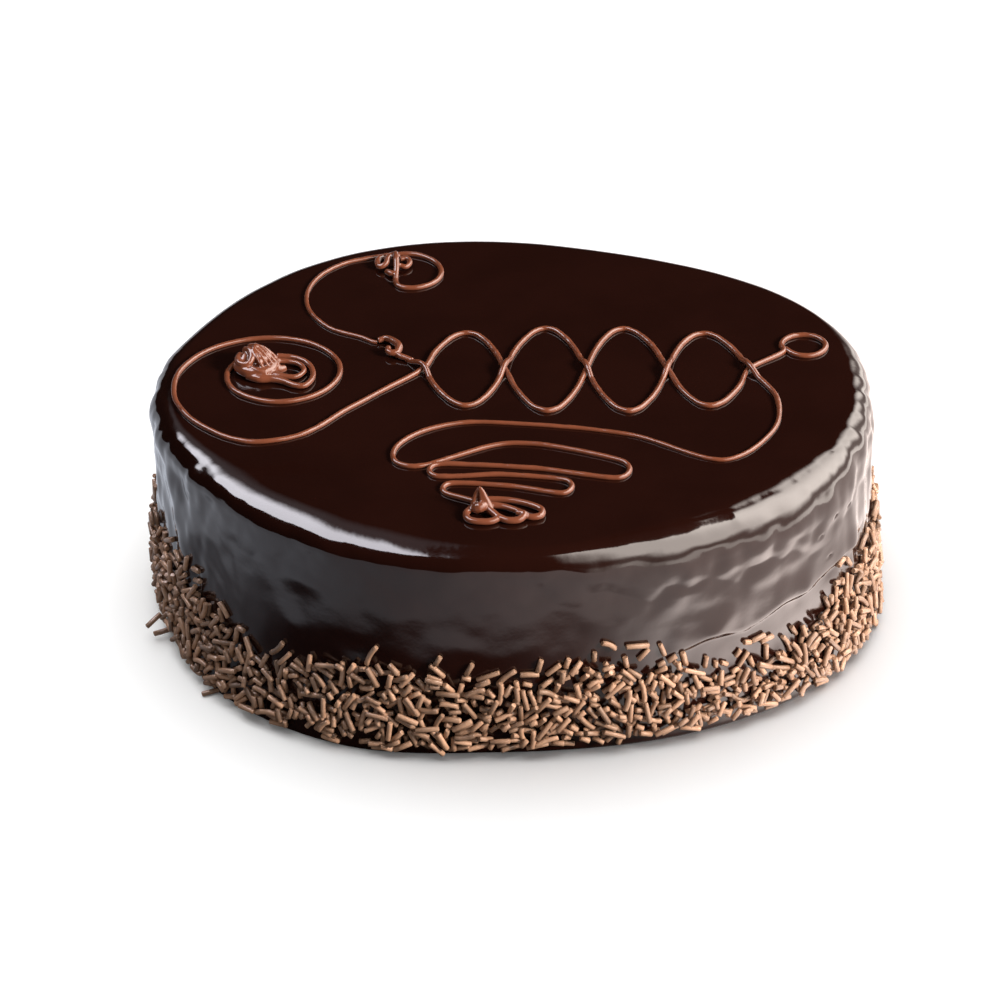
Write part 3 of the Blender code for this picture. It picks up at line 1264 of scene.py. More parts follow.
    @staticmethod
    def copies_tree() -> bpy.types.NodeTree:
        """Builds the tree that puts a copy of a shape at each point, none quite like another.

        Returns:
            The tree, whose points give each copy's turn, size and tone.
        """
        wiring, given = open_geometry("Copies at points", {"Shape": "Object", "Unevenness": "Float"})
        shape = wiring.node("GeometryNodeObjectInfo", {"Object": given["Shape"]})
        turn = wiring.node("FunctionNodeEulerToRotation", {0: wiring.stored("turn", "FLOAT_VECTOR")})
        copies = wiring.node(
            "GeometryNodeInstanceOnPoints",
            {
                "Points": given["Geometry"],
                "Instance": shape.outputs["Geometry"],
                "Rotation": turn.outputs[0],
                "Scale": wiring.stored("size", "FLOAT_VECTOR"),
            },
        )
        real = wiring.node("GeometryNodeRealizeInstances", {"Geometry": copies.outputs[0]})
        cloud = wiring.node("ShaderNodeTexNoise", {"Scale": 650.0, "Detail": 0.0}).outputs["Color"]
        centred = wiring.node("ShaderNodeVectorMath", {0: cloud, 1: (0.5, 0.5, 0.5)}, operation="SUBTRACT")
        double = wiring.math("MULTIPLY", given["Unevenness"], 2.0)
        shift = wiring.node(
            "ShaderNodeVectorMath", {0: centred.outputs[0], "Scale": double}, operation="SCALE"
        )
        moved = wiring.node(
            "GeometryNodeSetPosition", {"Geometry": real.outputs[0], "Offset": shift.outputs[0]}
        )
        close_geometry(wiring, moved.outputs[0], given["Material"])
        return wiring.tree


@dataclass
class Bead:
    """Turns routes into round beads of piped chocolate with Geometry Nodes."""

    finish: Finish
    sides: int = 14
    flatness: float = 0.90
    tree: bpy.types.NodeTree = field(init=False)
    material: bpy.types.Material = field(init=False)

    def __post_init__(self) -> None:
        """Builds the finish and the tree once, for every line and knot."""
        self.material = self.finish.build()
        self.tree = self.bead_tree()

    @staticmethod
    def bead_tree() -> bpy.types.NodeTree:
        """Builds the tree that runs a round, slightly flattened bead along a route.

        Returns:
            The tree, whose points give the bead's radius.
        """
        wiring, given = open_geometry("Piped bead", {"Sides": "Int", "Flatness": "Float"})
        line = wiring.node("GeometryNodeMeshToCurve", {"Mesh": given["Geometry"]})
        upright = wiring.node("GeometryNodeSetCurveNormal", {"Curve": line.outputs[0]}, mode="Z_UP")
        ring = wiring.node("GeometryNodeCurvePrimitiveCircle", {"Resolution": given["Sides"], "Radius": 1.0})
        squash = wiring.node("ShaderNodeCombineXYZ", {"X": 1.0, "Y": given["Flatness"], "Z": 1.0})
        flat = wiring.node(
            "GeometryNodeTransform", {"Geometry": ring.outputs[0], "Scale": squash.outputs[0]}
        )
        bead = wiring.node(
            "GeometryNodeCurveToMesh",
            {
                "Curve": upright.outputs[0],
                "Profile Curve": flat.outputs[0],
                "Scale": wiring.stored("thick", "FLOAT"),
                "Fill Caps": True,
            },
        )
        soft = wiring.node("GeometryNodeSetShadeSmooth", {"Geometry": bead.outputs[0]})
        close_geometry(wiring, soft.outputs[0], given["Material"])
        return wiring.tree

    def lay(self, name: str, routes: list) -> bpy.types.Object:
        """Makes one dressed mesh of the beads along these routes.

        Args:
            name: The piece's name.
            routes: Arrays of x, y, z and radius, one row for each place.

        Returns:
            The piece, at the origin, with a plain mesh.
        """
        edges = []
        first = 0
        for route in routes:
            edges += [(index, index + 1) for index in range(first, first + len(route) - 1)]
            first += len(route)
        places = np.concatenate(routes)
        holder = add_mesh(name + "_route", places[:, :3].tolist(), edges, [])
        store(holder, "thick", "FLOAT", places[:, 3])
        values = {"Sides": self.sides, "Flatness": self.flatness, "Material": self.material}
        return run_tree(holder, self.tree, values, name)


@dataclass
class PipedLines:
    """The three piped lines: spiral and first wave, curl, and flourish over the wave."""

    cake: GlazedCake
    bead: Bead
    step: float = 0.0007
    sink: float = 0.00038
    fine: float = 0.00078
    middling: float = 0.00090
    thick: float = 0.00097
    braid_start: tuple = (-0.030, 0.008)
    braid_eyes: int = 4
    braid_pitch: float = 0.027
    braid_height: float = 0.0205
    braid_swell: float = 0.0060
    hump_height: float = 0.00150
    hump_flat: float = 0.0010
    hump_reach: float = 0.0070
    wander: float = 0.00016
    zigzag_turns: tuple = (
        ((0.0365, -0.0520), 0.0055, 0.0020),
        ((-0.0270, -0.0530), 0.0035, 0.0020),
        ((0.0180, -0.0620), 0.0040, 0.0015),
        ((-0.0225, -0.0635), 0.0033, 0.0000),
    )

    @staticmethod
    def winding(centre: tuple, start: float, turns: float, radius_at: Callable[[float], float],
                squash: float, thick: tuple) -> list:
        """Stops along a spiral.

        Args:
            centre: Its middle.
            start: The first stop's angle in degrees.
            turns: How far it winds, negative for clockwise.
            radius_at: Gives the radius for the turns made so far.
            squash: The share of its depth to its width.
            thick: The bead's radius at the start and at the end.

        Returns:
            Stops of x, y and bead radius.
        """
        count = round(abs(turns) * 14)
        stops = []
        for step in range(count + 1):
            made = turns * step / count
            angle = math.radians(start) + 2.0 * math.pi * made
            radius = radius_at(abs(made))
            x = centre[0] + radius * math.cos(angle)
            y = centre[1] + radius * math.sin(angle) * squash
            stops.append((x, y, thick[0] + (thick[1] - thick[0]) * step / count))
        return stops

    @staticmethod
    def stops(bead: float, *spots: tuple) -> list:
        """Stops with the same bead radius at these spots."""
        return [(*spot, bead) for spot in spots]

    def wave(self, side: float) -> list:
        """Stops along one of the braid's two waves.

        Args:
            side: 1 where its first bow is at the back, and -1 where it is at the front.

        Returns:
            Stops of x, y and bead radius.
        """
        stops = []
        eighths = 8 * self.braid_eyes
        for step in range(eighths + 1):
            swell = self.braid_swell * math.sin(math.pi * step / eighths)
            wave = math.sin(math.pi * step / 8.0)
            bow = (self.braid_height + swell) * math.copysign(abs(wave) ** 0.82, wave)
            across = self.braid_start[0] + self.braid_pitch * step / 8.0
            bead = self.thick * (1.0 + 0.05 * math.sin(1.1 * step + side))
            stops.append((across, self.braid_start[1] + side * bow, bead))
        return stops

    def crossings(self) -> list:
        """The spots where the flourish passes over the first wave."""
        x, y = self.braid_start
        return [(x + self.braid_pitch * eye, y) for eye in range(self.braid_eyes + 1)]

    def zigzag(self) -> list:
        """Stops of the zigzag that narrows towards the front.

        Returns:
            Stops of x, y and bead radius.
        """
        spots = []
        for index, ((x, y), radius, bow) in enumerate(self.zigzag_turns):
            side = math.copysign(1.0, x)
            for degrees in (70.0, 35.0, 0.0, -35.0, -70.0):
                turn = math.radians(degrees)
                spots.append((x - side * radius * (1.0 - math.cos(turn)), y + radius * math.sin(turn)))
            if bow:
                (next_x, next_y), next_radius, _ = self.zigzag_turns[index + 1]
                middle = (y - radius + next_y + next_radius) / 2.0
                spots.append(((x + next_x) / 2.0, middle + bow))
        return self.stops(self.middling, *spots, (-0.0125, -0.0705), (-0.0095, -0.0728))

    def lay(self, name: str, stops: list, crossings: list, taper: tuple, seed: float) -> bpy.types.Object:
        """Lays one line on the glaze.

        Args:
            name: The piece's name.
            stops: Stops of x, y and bead radius.
            crossings: Spots where it passes over another line.
            taper: Whether its start and its end run out to a point.
            seed: Sets its small unevenness.

        Returns:
            The piece.
        """
        route = smooth_route(stops, self.step)
        flat = np.column_stack((route[:, :2], np.zeros(len(route))))
        route[:, 0] += self.wander * lumps(flat, 0.009, seed)
        route[:, 1] += self.wander * lumps(flat, 0.009, seed + 20.0)
        radius = route[:, 2] * (1.0 + 0.07 * lumps(flat, 0.006, seed + 40.0))
        radius *= 1.0 + 0.05 * lumps(flat, 0.0021, seed + 60.0)
        travelled = distances(route[:, :2])
        for tapered, away in zip(taper, (travelled, travelled[-1] - travelled)):
            if tapered:
                radius *= 0.35 + 0.65 * np.sqrt(ramp(away, -0.0004, 0.0028))
        lift = np.zeros(len(route))
        for spot in crossings:
            away = np.linalg.norm(route[:, :2] - np.array(spot), axis=1)
            hump = 1.0 - ramp(away, self.hump_flat, self.hump_reach)
            lift = np.maximum(lift, self.hump_height * hump)
        level = self.cake.top_level(route) + radius * self.bead.flatness - self.sink + lift
        return self.bead.lay(name, [np.column_stack((route[:, :2], level, radius))])

    def spiral(self) -> list:
        """Stops of the first line: out of the spiral, along the braid and into a small curl.

        Returns:
            Stops of x, y and bead radius.
        """
        spiral = self.winding(
            (-0.077, 0.004), 148.0, 1.308,
            lambda made: 0.0178 + 0.0262 * (max(0.0, made - 0.461) / 0.847) ** 1.55, 0.93,
            (self.thick, self.middling),
        )
        leave = self.stops(self.middling, (-0.0688, -0.0323), (-0.0534, -0.0161), (-0.0418, -0.0042))
        end_curl = self.winding(
            (0.0975, 0.0225), 205.0, -1.06, lambda made: 0.0078 - 0.0012 * made, 0.95,
            (self.thick, self.thick),
        )
        return [*spiral, *leave, *self.wave(1.0), *end_curl]

    def curl(self) -> list:
        """Stops of the second line: down from the back knot, round it, and out in a long arc.

        Returns:
            Stops of x, y and bead radius.
        """
        lead = self.stops(self.thick, (-0.0408, 0.0680), (-0.0405, 0.0648), (-0.0395, 0.0622))
        loop = self.winding(
            (-0.037, 0.0705), -92.0, 0.504, lambda made: 0.0095 + 0.0094 * made, 1.0,
            (self.thick, self.thick),
        )
        arc = []
        for step in range(9):
            angle = math.radians(112.0 + 120.0 * step / 8)
            arc.append((-0.0445 + 0.0265 * math.cos(angle), 0.0550 + 0.0275 * math.sin(angle)))
        tail = [(-0.0510, 0.0280), (-0.0474, 0.0254), (-0.0458, 0.0249)]
        return [*lead, *loop, *self.stops(self.fine, *arc, *tail)]

    def flourish(self) -> list:
        """Stops of the third line: along the braid, back underneath it and into the zigzag.

        Returns:
            Stops of x, y and bead radius.
        """
        back = self.stops(
            self.fine, (0.0835, -0.0290), (0.0670, -0.0465), (0.0370, -0.0320),
            (-0.0020, -0.0252), (-0.0145, -0.0247),
        )
        first_turn = self.stops(
            self.middling, (-0.0245, -0.0276), (-0.0305, -0.0310), (-0.0352, -0.0355),
            (-0.0379, -0.0400), (-0.0387, -0.0446), (-0.0375, -0.0485), (-0.0341, -0.0504),
            (-0.0290, -0.0502), (-0.0010, -0.0372),
        )
        start = (-0.0358, 0.0137, self.thick)
        turn = (0.0860, -0.0100, self.middling)
        return [start, *self.wave(-1.0), turn, *back, *first_turn, *self.zigzag()]

    def build(self) -> dict:
        """Lays the three lines.

        Returns:
            Each piece by the name of the CAD node that it replaces.
        """
        over = self.crossings()
        return {
            "piped_spiral": self.lay("spiral_line", self.spiral(), [], (False, True), 1.0),
            "piped_curl": self.lay("curl_line", self.curl(), [], (False, False), 2.0),
            "piped_flourish": self.lay("flourish_line", self.flourish(), over, (True, False), 3.0),
        }


@dataclass(frozen=True)
class Knot:
    """A small heap of piping: strands of x, y, rise and radius in millimetres."""

    node: str
    name: str
    strands: tuple


KNOTS = (
    Knot("piped_knot_left", "left_knot", (
        ((-90.6, 11.5, 2.2, 2.1), (-90.6, 6.5, 2.2, 2.2), (-87.5, 3.4, 2.1, 2.2),
         (-83.0, 3.2, 2.1, 2.2), (-79.8, 6.5, 2.1, 2.1), (-80.4, 11.5, 2.2, 2.1),
         (-84.0, 14.8, 2.3, 2.2), (-88.5, 14.6, 2.4, 2.2)),
        ((-87.0, 7.0, 2.0, 2.4), (-84.0, 7.5, 2.2, 2.6), (-84.6, 11.0, 2.4, 2.6),
         (-88.0, 11.0, 2.4, 2.4)),
        ((-86.8, 13.0, 4.6, 2.0), (-83.6, 11.8, 4.8, 2.0), (-82.6, 8.6, 4.3, 2.0),
         (-84.6, 5.8, 4.2, 1.9)),
        ((-90.6, 10.8, 4.6, 1.15), (-91.3, 7.6, 4.3, 1.15), (-89.9, 5.0, 4.2, 1.15),
         (-87.6, 4.8, 4.6, 1.15), (-86.6, 7.2, 5.6, 1.15), (-87.4, 10.2, 6.4, 1.15),
         (-89.4, 11.8, 5.8, 1.1)),
        ((-87.6, 13.4, 5.6, 1.5), (-85.6, 11.6, 6.7, 1.3), (-86.2, 9.8, 6.9, 0.9)),
        ((-89.4, 6.6, 3.4, 1.9), (-88.8, 9.0, 4.4, 1.9), (-88.2, 11.2, 5.0, 1.5)),
        ((-86.0, 12.6, 7.3, 0.55), (-82.6, 12.2, 6.0, 0.62), (-79.6, 10.6, 4.0, 0.62),
         (-77.6, 9.0, 2.2, 0.55)),
        ((-86.1, 11.9, 7.5, 0.55), (-82.8, 10.6, 6.3, 0.62), (-79.9, 8.6, 4.2, 0.62),
         (-78.0, 6.9, 2.2, 0.55)),
        ((-86.2, 11.1, 7.5, 0.55), (-83.2, 9.0, 6.2, 0.62), (-80.5, 6.6, 4.2, 0.62),
         (-78.8, 5.0, 2.2, 0.55)),
        ((-86.3, 10.3, 7.4, 0.55), (-83.9, 7.5, 6.0, 0.62), (-81.6, 5.0, 4.2, 0.62),
         (-80.2, 3.6, 2.4, 0.55)),
        ((-86.5, 9.5, 7.2, 0.55), (-84.8, 6.3, 5.7, 0.6), (-83.2, 3.9, 4.2, 0.6),
         (-82.0, 2.4, 2.8, 0.55)),
        ((-86.6, 3.4, 3.9, 0.7), (-84.2, 1.9, 3.4, 0.75), (-81.4, 1.5, 2.6, 0.7)),
        ((-80.5, 8.5, 1.4, 2.0), (-77.8, 7.0, 1.0, 1.7), (-75.8, 8.2, 0.7, 1.2)),
        ((-88.0, 2.4, 1.4, 1.5), (-84.0, 0.6, 1.3, 1.6), (-79.8, 0.6, 1.2, 1.4),
         (-76.0, -0.7, 1.1, 1.2), (-72.2, -3.1, 1.0, 1.1), (-69.0, -3.4, 1.0, 1.05),
         (-66.7, 0.4, 1.0, 1.0), (-66.6, 6.0, 1.0, 1.0), (-68.8, 11.0, 1.1, 1.0),
         (-73.4, 14.2, 1.2, 1.0), (-79.0, 14.6, 1.5, 1.1)),
        ((-80.0, 3.6, 1.3, 1.5), (-75.4, 2.2, 1.1, 1.05), (-71.6, 2.4, 1.0, 0.95),
         (-69.5, 6.0, 1.0, 0.95), (-71.0, 9.8, 1.1, 0.95), (-74.6, 11.6, 1.2, 0.95),
         (-79.0, 11.4, 1.6, 1.1)),
    )),
    Knot("piped_knot_back", "back_knot", (
        ((-43.6, 80.6, 1.0, 1.0), (-46.0, 80.6, 1.4, 1.1), (-47.3, 77.4, 1.6, 1.15),
         (-46.4, 73.9, 1.5, 1.1), (-44.4, 74.6, 2.2, 1.1), (-43.6, 78.0, 2.8, 1.05),
         (-42.0, 80.6, 2.5, 1.0), (-39.8, 80.8, 1.6, 1.0)),
        ((-41.2, 80.8, 3.0, 1.05), (-40.8, 76.5, 3.4, 1.1), (-40.6, 72.6, 2.4, 1.05),
         (-40.7, 69.4, 1.2, 1.0), (-40.7, 66.6, 0.6, 0.95)),
        ((-39.6, 79.0, 1.6, 0.95), (-37.2, 79.6, 1.7, 0.95), (-36.0, 76.8, 1.5, 0.95),
         (-37.4, 74.2, 1.3, 0.95), (-39.6, 74.6, 1.7, 0.95)),
        ((-44.2, 71.6, 1.0, 1.0), (-42.4, 69.8, 1.1, 1.25), (-41.2, 69.4, 1.2, 1.0)),
    )),
    Knot("piped_knot_centre", "centre_knot", (
        ((-45.6, 25.0, 0.9, 1.05), (-43.0, 25.8, 1.3, 1.2), (-40.4, 23.4, 1.7, 1.35),
         (-38.4, 19.8, 1.9, 1.35), (-39.2, 16.2, 1.7, 1.25), (-41.6, 16.2, 1.8, 1.15),
         (-42.0, 18.8, 2.2, 1.0)),
        ((-39.8, 16.6, 1.3, 1.2), (-37.8, 14.8, 1.1, 1.15), (-35.6, 13.7, 0.9, 1.05),
         (-33.6, 12.6, 0.7, 0.95)),
    )),
    Knot("piped_knot_front", "front_knot", (
        ((-12.6, -70.5, 0.9, 1.1), (-7.0, -70.0, 1.0, 1.1), (-1.4, -70.6, 1.0, 1.1),
         (4.4, -72.8, 1.0, 1.1), (8.2, -75.8, 1.0, 1.15), (8.0, -79.0, 1.0, 1.2),
         (4.8, -79.8, 1.0, 1.15), (1.6, -77.4, 1.2, 1.1), (-3.4, -74.6, 1.4, 1.1),
         (-8.6, -73.8, 1.6, 1.2)),
        ((-9.6, -74.6, 2.2, 1.3), (-7.8, -77.0, 1.9, 1.2), (-5.2, -80.0, 1.3, 1.2),
         (-2.0, -81.8, 1.1, 1.2), (1.6, -81.4, 1.3, 1.25), (2.9, -79.4, 1.9, 1.2),
         (0.4, -78.6, 2.0, 1.0)),
        ((-12.6, -75.0, 1.6, 1.2), (-15.0, -77.6, 1.0, 1.15), (-14.2, -81.2, 1.0, 1.15),
         (-10.4, -82.4, 1.0, 1.15), (-6.6, -81.8, 1.0, 1.15), (-4.4, -79.8, 1.3, 1.1)),
        ((-12.2, -76.2, 1.7, 1.9), (-11.0, -76.8, 2.6, 1.9), (-9.6, -75.8, 2.6, 1.8)),
        ((-12.8, -74.6, 2.2, 1.1), (-12.3, -73.6, 4.6, 0.75), (-11.5, -73.0, 6.6, 0.55),
         (-10.9, -73.2, 7.7, 0.42), (-9.9, -73.9, 6.6, 0.6), (-8.8, -75.0, 4.4, 0.9),
         (-7.6, -76.4, 2.0, 1.3)),
        ((-10.9, -73.4, 7.4, 0.42), (-10.5, -74.4, 5.4, 0.6), (-9.9, -75.6, 3.2, 1.0)),
        ((-10.8, -73.3, 7.4, 0.4), (-9.8, -74.6, 5.6, 0.5), (-8.6, -76.2, 3.0, 0.7),
         (-7.8, -77.4, 1.6, 0.8)),
        ((-11.2, -73.0, 6.8, 0.45), (-11.0, -72.6, 4.4, 0.9), (-10.4, -72.6, 2.0, 1.3)),
    )),
)


@dataclass
class PipedKnots:
    """The four small heaps of piping, each run together into one skin."""

    cake: GlazedCake
    bead: Bead
    step: float = 0.0006
    voxel: float = 0.00026
    smooth_turns: int = 3
    fewest_faces: int = 400

    def build(self) -> dict:
        """Makes the knots.

        Returns:
            Each piece by the name of the CAD node that it replaces.
        """
        pieces = {}
        for knot in KNOTS:
            routes = []
            for strand in knot.strands:
                route = smooth_route([tuple(value * MM for value in stop) for stop in strand], self.step)
                route[:, 2] += self.cake.top_level(route)
                routes.append(route)
            loose = self.bead.lay(knot.name + "_strands", routes)
            fuse = loose.modifiers.new("Run together", "REMESH")
            fuse.mode = "VOXEL"
            fuse.voxel_size = self.voxel
            fuse.use_smooth_shade = True
            soften = loose.modifiers.new("Soften", "SMOOTH")
            soften.factor = 0.5
            soften.iterations = self.smooth_turns
            piece = plain_mesh(loose, knot.name)
            self.sweep(piece.data)
            piece.data.materials.clear()
            piece.data.materials.append(self.bead.material)
            pieces[knot.node] = piece
        return pieces

    def sweep(self, mesh: bpy.types.Mesh) -> None:
        """Removes the crumbs that running the strands together leaves beside the skin.

        Args:
            mesh: The knot's mesh.
        """
        shape = bmesh.new()
        shape.from_mesh(mesh)
        crumbs = []
        for first in shape.faces:
            if first.tag:
                continue
            first.tag = True
            shell = [first]
            for face in shell:
                for edge in face.edges:
                    for other in edge.link_faces:
                        if not other.tag:
                            other.tag = True
                            shell.append(other)
            if len(shell) < self.fewest_faces:
                crumbs += shell
        bmesh.ops.delete(shape, geom=crumbs, context="FACES")
        shape.to_mesh(mesh)
        shape.free()


@dataclass(frozen=True)
class Lamp:
    """A large soft light that models the shapes it falls on, and that mirrors don't see."""

    name: str
    place: tuple
    size: float
    energy: float
    tint: tuple
    only: tuple

    def build(self) -> None:
        """Makes the light, facing the cake."""
        light = bpy.data.lights.new(self.name, "AREA")
        light.shape = "DISK"
        light.size = self.size
        light.energy = self.energy
        light.color = self.tint
        item = add_object(self.name, light)
        item.location = self.place
        aim = Vector((0.0, 0.0, 0.05)) - Vector(self.place)
        item.rotation_mode = "QUATERNION"
        item.rotation_quaternion = aim.to_track_quat("-Z", "Y")
        item.visible_camera = False
        item.visible_glossy = False
        lit = bpy.data.collections.new(self.name + " lights")
        for piece in self.only:
            lit.objects.link(piece)
        item.light_linking.receiver_collection = lit


@dataclass
class Glow:
    """A glowing sheet that only mirrors see, as a softbox or a lit table shows in a glaze."""

    name: str

    def build(self, places: np.ndarray, glow: np.ndarray, tint: np.ndarray) -> None:
        """Makes the sheet, which neither the camera nor matt surfaces see.

        Args:
            places: A grid of points, rows by columns by three.
            glow: How bright each point is.
            tint: The light's colour, one for all points or one for each.
        """
        rows, columns = glow.shape
        numbers = np.arange(rows * columns).reshape(rows, columns)
        corners = (numbers[:-1, :-1], numbers[:-1, 1:], numbers[1:, 1:], numbers[1:, :-1])
        faces = np.stack(corners, axis=-1).reshape(-1, 4)
        item = add_mesh(self.name, places.reshape(-1, 3).tolist(), [], faces.tolist())
        light = np.ones((rows, columns, 4))
        light[..., :3] = glow[..., None] * np.asarray(tint)
        store(item, "glow", "FLOAT_COLOR", light)
        material, wiring, shader = new_material(self.name)
        wiring.tree.nodes.remove(shader)
        amount = wiring.node("ShaderNodeAttribute", attribute_name="glow")
        lamp = wiring.node("ShaderNodeEmission", {"Color": amount.outputs["Color"]})
        wiring.feed(wiring.tree.nodes["Material Output"], {"Surface": lamp.outputs[0]})
        item.data.materials.append(material)
        for kind in ("camera", "diffuse", "transmission", "shadow"):
            setattr(item, "visible_" + kind, False)


@dataclass
class Studio:
    """A plain pale floor, soft light and the camera. The key light falls on the pieces alone."""

    floor_size: float = 12.0
    floor_seen: float = 0.95
    floor_bounce: float = 0.38
    floor_lift: float = 0.01
    camera_place: tuple = (-0.0046, -0.9168, 0.6486)
    camera_tilt: float = 55.975
    lens: float = 117.97
    sky_for_matt: float = 0.45
    sky_for_mirror: float = 0.012
    pieces: tuple = ()

    def camera(self) -> None:
        """Sets the camera up."""
        data = bpy.data.cameras.new("Camera")
        data.lens = self.lens
        data.sensor_width = 36.0
        data.clip_start = 0.05
        data.clip_end = 100.0
        item = add_object("Camera", data)
        item.location = self.camera_place
        item.rotation_euler = (math.radians(self.camera_tilt), 0.0, 0.0)
        bpy.context.scene.camera = item

    def floor(self) -> bpy.types.Object:
        """Lays the pale floor, which the table glow replaces in mirrors.

        Returns:
            The floor, brighter to the camera than to the cake, and brighter still far away.
        """
        half = self.floor_size / 2.0
        corners = ((-half, -half, 0.0), (half, -half, 0.0), (half, half, 0.0), (-half, half, 0.0))
        item = add_mesh("floor", corners, [], [(0, 1, 2, 3)])
        material, wiring, shader = new_material("Pale floor")
        seen = wiring.node("ShaderNodeLightPath").outputs["Is Camera Ray"]
        lighter = self.floor_seen - self.floor_bounce
        shade = wiring.math("MULTIPLY_ADD", seen, lighter, self.floor_bounce)
        place = wiring.node("ShaderNodeTexCoord").outputs["Object"]
        distance = wiring.node("ShaderNodeVectorMath", {0: place}, operation="LENGTH").outputs["Value"]
        far = wiring.spread(distance, 0.6, 2.4, self.floor_lift, 0.6, "SMOOTHSTEP")
        grey = wiring.node("ShaderNodeCombineColor", {"Red": shade, "Green": shade, "Blue": shade})
        looks = {
            "Base Color": grey.outputs[0],
            "Roughness": 1.0,
            "Specular IOR Level": 0.0,
            "Emission Color": (1.0, 1.0, 1.0, 1.0),
            "Emission Strength": wiring.math("MULTIPLY", seen, far),
        }
        wiring.feed(shader, looks)
        item.data.materials.append(material)
        item.visible_glossy = False
        return item

    def sky(self) -> None:
        """Surrounds the scene with even light, which mirrors see as dark."""
        world = bpy.data.worlds.new("Studio")
        world.use_nodes = True
        bpy.context.scene.world = world
        wiring = Wiring(world.node_tree)
        mirrored = wiring.node("ShaderNodeLightPath").outputs["Is Glossy Ray"]
        strength = wiring.spread(mirrored, 0.0, 1.0, self.sky_for_matt, self.sky_for_mirror)
        background = world.node_tree.nodes["Background"]
        wiring.feed(background, {"Strength": strength, "Color": (1.0, 1.0, 1.0, 1.0)})

    def table_glow(self) -> None:
        """The lit table round the cake, as the wall mirrors it: bright and warm at the right, with painted
        shade in front of the cake, at its left and round its foot.
        """
        angle = np.radians(np.linspace(-180.0, 180.0, 181))[None, :]
        reach = np.concatenate((np.linspace(0.0, 0.26, 105), np.geomspace(0.27, 6.0, 30)))[:, None]
        hot = bell(angle, -44.0, 36.0) * (1.0 - ramp(reach, 0.138, 0.166))
        glow = 0.56 + bumps(angle, ((5.0, 122.0, 1.50), (175.0, 75.0, 0.36))) + 3.4 * hot
        # Painted shade: the mirrored table is darkened in front of the cake and at its left, and nearly
        # black round its foot.
        nearer = reach + 0.005 * bell(angle, -78.0, 28.0)
        front_shade = bell(angle, -112.0, 62.0) * (1.0 - ramp(nearer, 0.156, 0.171))
        left_shade = 0.75 * bell(angle, -150.0, 42.0) * (1.0 - ramp(reach, 0.140, 0.168))
        foot_shade = 1.0 - ramp(reach, 0.104, 0.116)
        glow = glow * (1.0 - 0.97 * np.maximum(front_shade, left_shade)) * (1.0 - 0.90 * foot_shade)
        x = 1.2 * reach * np.cos(angle)
        places = np.stack((x, reach * np.sin(angle), np.full_like(x, -0.001)), axis=-1)
        warmth = (bell(angle, 0.0, 150.0) * np.ones_like(reach))[..., None]
        cool, warm = np.array((0.94, 0.99, 1.11)), np.array((1.16, 1.0, 0.93))
        Glow("table_glow").build(places, glow, cool + (warm - cool) * warmth)

    def right_window(self) -> None:
        """The wide curtain of light round the right, from the table to high over the cake."""
        high, distance = 3.30, 1.6
        degrees = np.linspace(-75.0, 75.0, 121)[None, :]
        rise = np.linspace(-0.02, 1.0, 60)[:, None]
        strength = 8.2 + 4.6 * ramp(degrees, -35.0, 5.0) - 5.0 * ramp(degrees, 15.0, 50.0)
        sides = ramp(degrees, -72.0, -48.0) * (1.0 - ramp(degrees, 55.0, 72.0))
        level = 0.11 + 0.89 * ramp(rise, 0.160, 0.29) + 0.42 * (1.0 - ramp(rise, 0.064, 0.108))
        corner = ramp(degrees, 32.0, 48.0) * ramp(rise, 0.55, 0.72)
        glow = strength * sides * level * (1.0 - ramp(rise, 0.92, 1.0)) * (1.0 - corner)
        angle = np.radians(degrees) * np.ones_like(rise)
        x, y = distance * np.cos(angle), distance * np.sin(angle)
        places = np.stack((x, y, high * rise * np.ones_like(angle)), axis=-1)
        Glow("right_window").build(places, glow, np.array((1.08, 0.98, 0.90)))

    def left_window(self) -> None:
        """The softbox overhead at the left, whose strip runs along the shoulder."""
        along = np.linspace(0.0, 1.0, 61)[None, :, None]
        across = np.linspace(0.0, 1.0, 41)[:, None, None]
        near = np.array(((-0.34, -0.42, 1.5), (-0.85, -0.42, 1.5), (-2.00, 1.45, 1.5)))
        far = np.array(((-0.06, 1.20, 1.5), (-0.10, 2.05, 1.5), (-0.80, 2.60, 1.5)))
        bow = 2.0 * along * (1.0 - along)
        curve = ((1.0 - along) ** 2, bow, along**2)
        places = sum(
            part * (near_corner + (far_corner - near_corner) * across)
            for part, near_corner, far_corner in zip(curve, near, far)
        )
        bright = 1.0 - ramp(across - 0.10 - 0.72 * bow, -0.12, 0.14)
        glow = (12.5 * bright + 0.42 * (1.0 - ramp(across, 0.62, 1.0))) * (1.0 - ramp(along, 0.75, 1.0))
        Glow("left_window").build(places, glow[..., 0], np.array((0.98, 0.96, 1.04)))

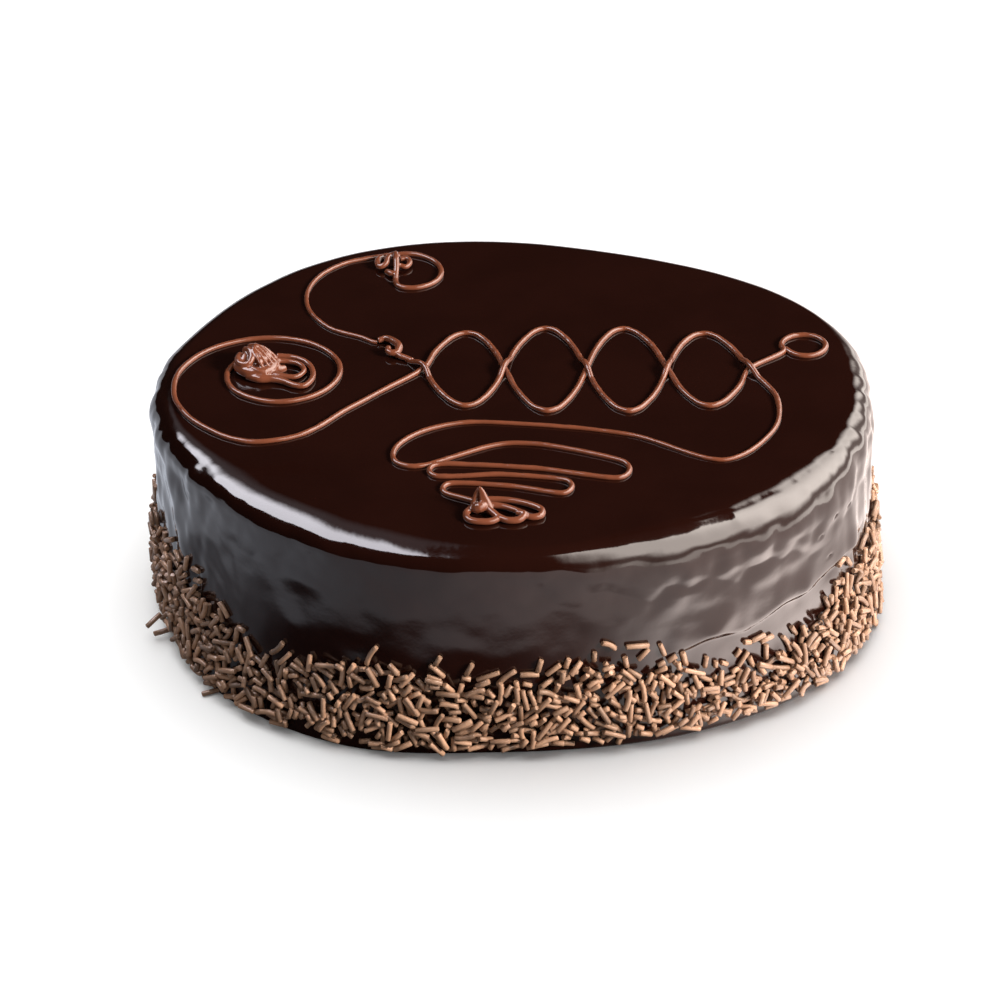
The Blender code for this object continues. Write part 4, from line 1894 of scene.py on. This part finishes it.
    def build(self) -> None:
        """Builds the whole studio."""
        self.camera()
        floor = self.floor()
        self.sky()
        self.table_glow()
        self.right_window()
        self.left_window()
        cool, clear, white = (0.96, 0.98, 1.0), (0.99, 1.0, 1.02), (1.0, 1.0, 1.0)
        Lamp("Key", (1.60, -0.80, 0.95), 0.55, 98.0, clear, self.pieces).build()
        Lamp("Fill", (-0.86, 0.92, 1.50), 1.0, 13.0, cool, self.pieces).build()
        Lamp("Table light", (0.0, 0.40, 1.88), 3.0, 56.0, white, (floor,)).build()
        settings = bpy.context.scene.view_settings
        settings.view_transform = "Standard"
        settings.look = "None"


GLAZE = GlazeFinish(
    name="Dark glaze",
    shade_a=(0.0100, 0.0023, 0.0013),
    shade_b=(0.0120, 0.0028, 0.0016),
    patch_size=0.030,
    smoothest=0.080,
    dullest=0.15,
    grain_size=0.0040,
    grain_depth=0.00004,
)
SPONGE = Finish(
    name="Bare sponge",
    shade_a=(0.060, 0.026, 0.014),
    shade_b=(0.095, 0.042, 0.022),
    patch_size=0.004,
    smoothest=0.85,
    dullest=0.95,
    grain_size=0.0011,
    grain_depth=0.0006,
    specular=0.2,
)
SPRINKLE = SprinkleFinish(
    name="Pressed chocolate",
    shade_a=(0.305, 0.168, 0.099),
    shade_b=(0.236, 0.124, 0.070),
    patch_size=0.0022,
    smoothest=0.32,
    dullest=0.50,
    grain_size=0.00050,
    grain_depth=0.00010,
    specular=0.66,
)
MILK = Finish(
    name="Milk chocolate",
    shade_a=(0.160, 0.0460, 0.0215),
    shade_b=(0.135, 0.0382, 0.0176),
    patch_size=0.006,
    smoothest=0.10,
    dullest=0.16,
    grain_size=0.0012,
    grain_depth=0.00003,
    specular=0.42,
)


def main() -> None:
    """Builds every piece in order, then the studio."""
    logging.basicConfig(level=logging.INFO, format="%(name)s: %(message)s")
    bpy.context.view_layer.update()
    outline = Outline()
    cake = GlazedCake(outline)
    body = cake.build(GLAZE, SPONGE)
    hand_over(body, "dark_glaze", "glazed_cake")

    sprinkles = SprinkleBand(outline, cake).build(SPRINKLE)
    for piece in sprinkles:
        hand_over(piece, "sprinkles", "sprinkle_band")

    bead = Bead(MILK)
    piping = {**PipedLines(cake, bead).build(), **PipedKnots(cake, bead).build()}
    for node, piece in piping.items():
        hand_over(piece, "piped_chocolate", node)

    Studio(pieces=(body, *sprinkles, *piping.values())).build()


if __name__ == "__main__":
    main()
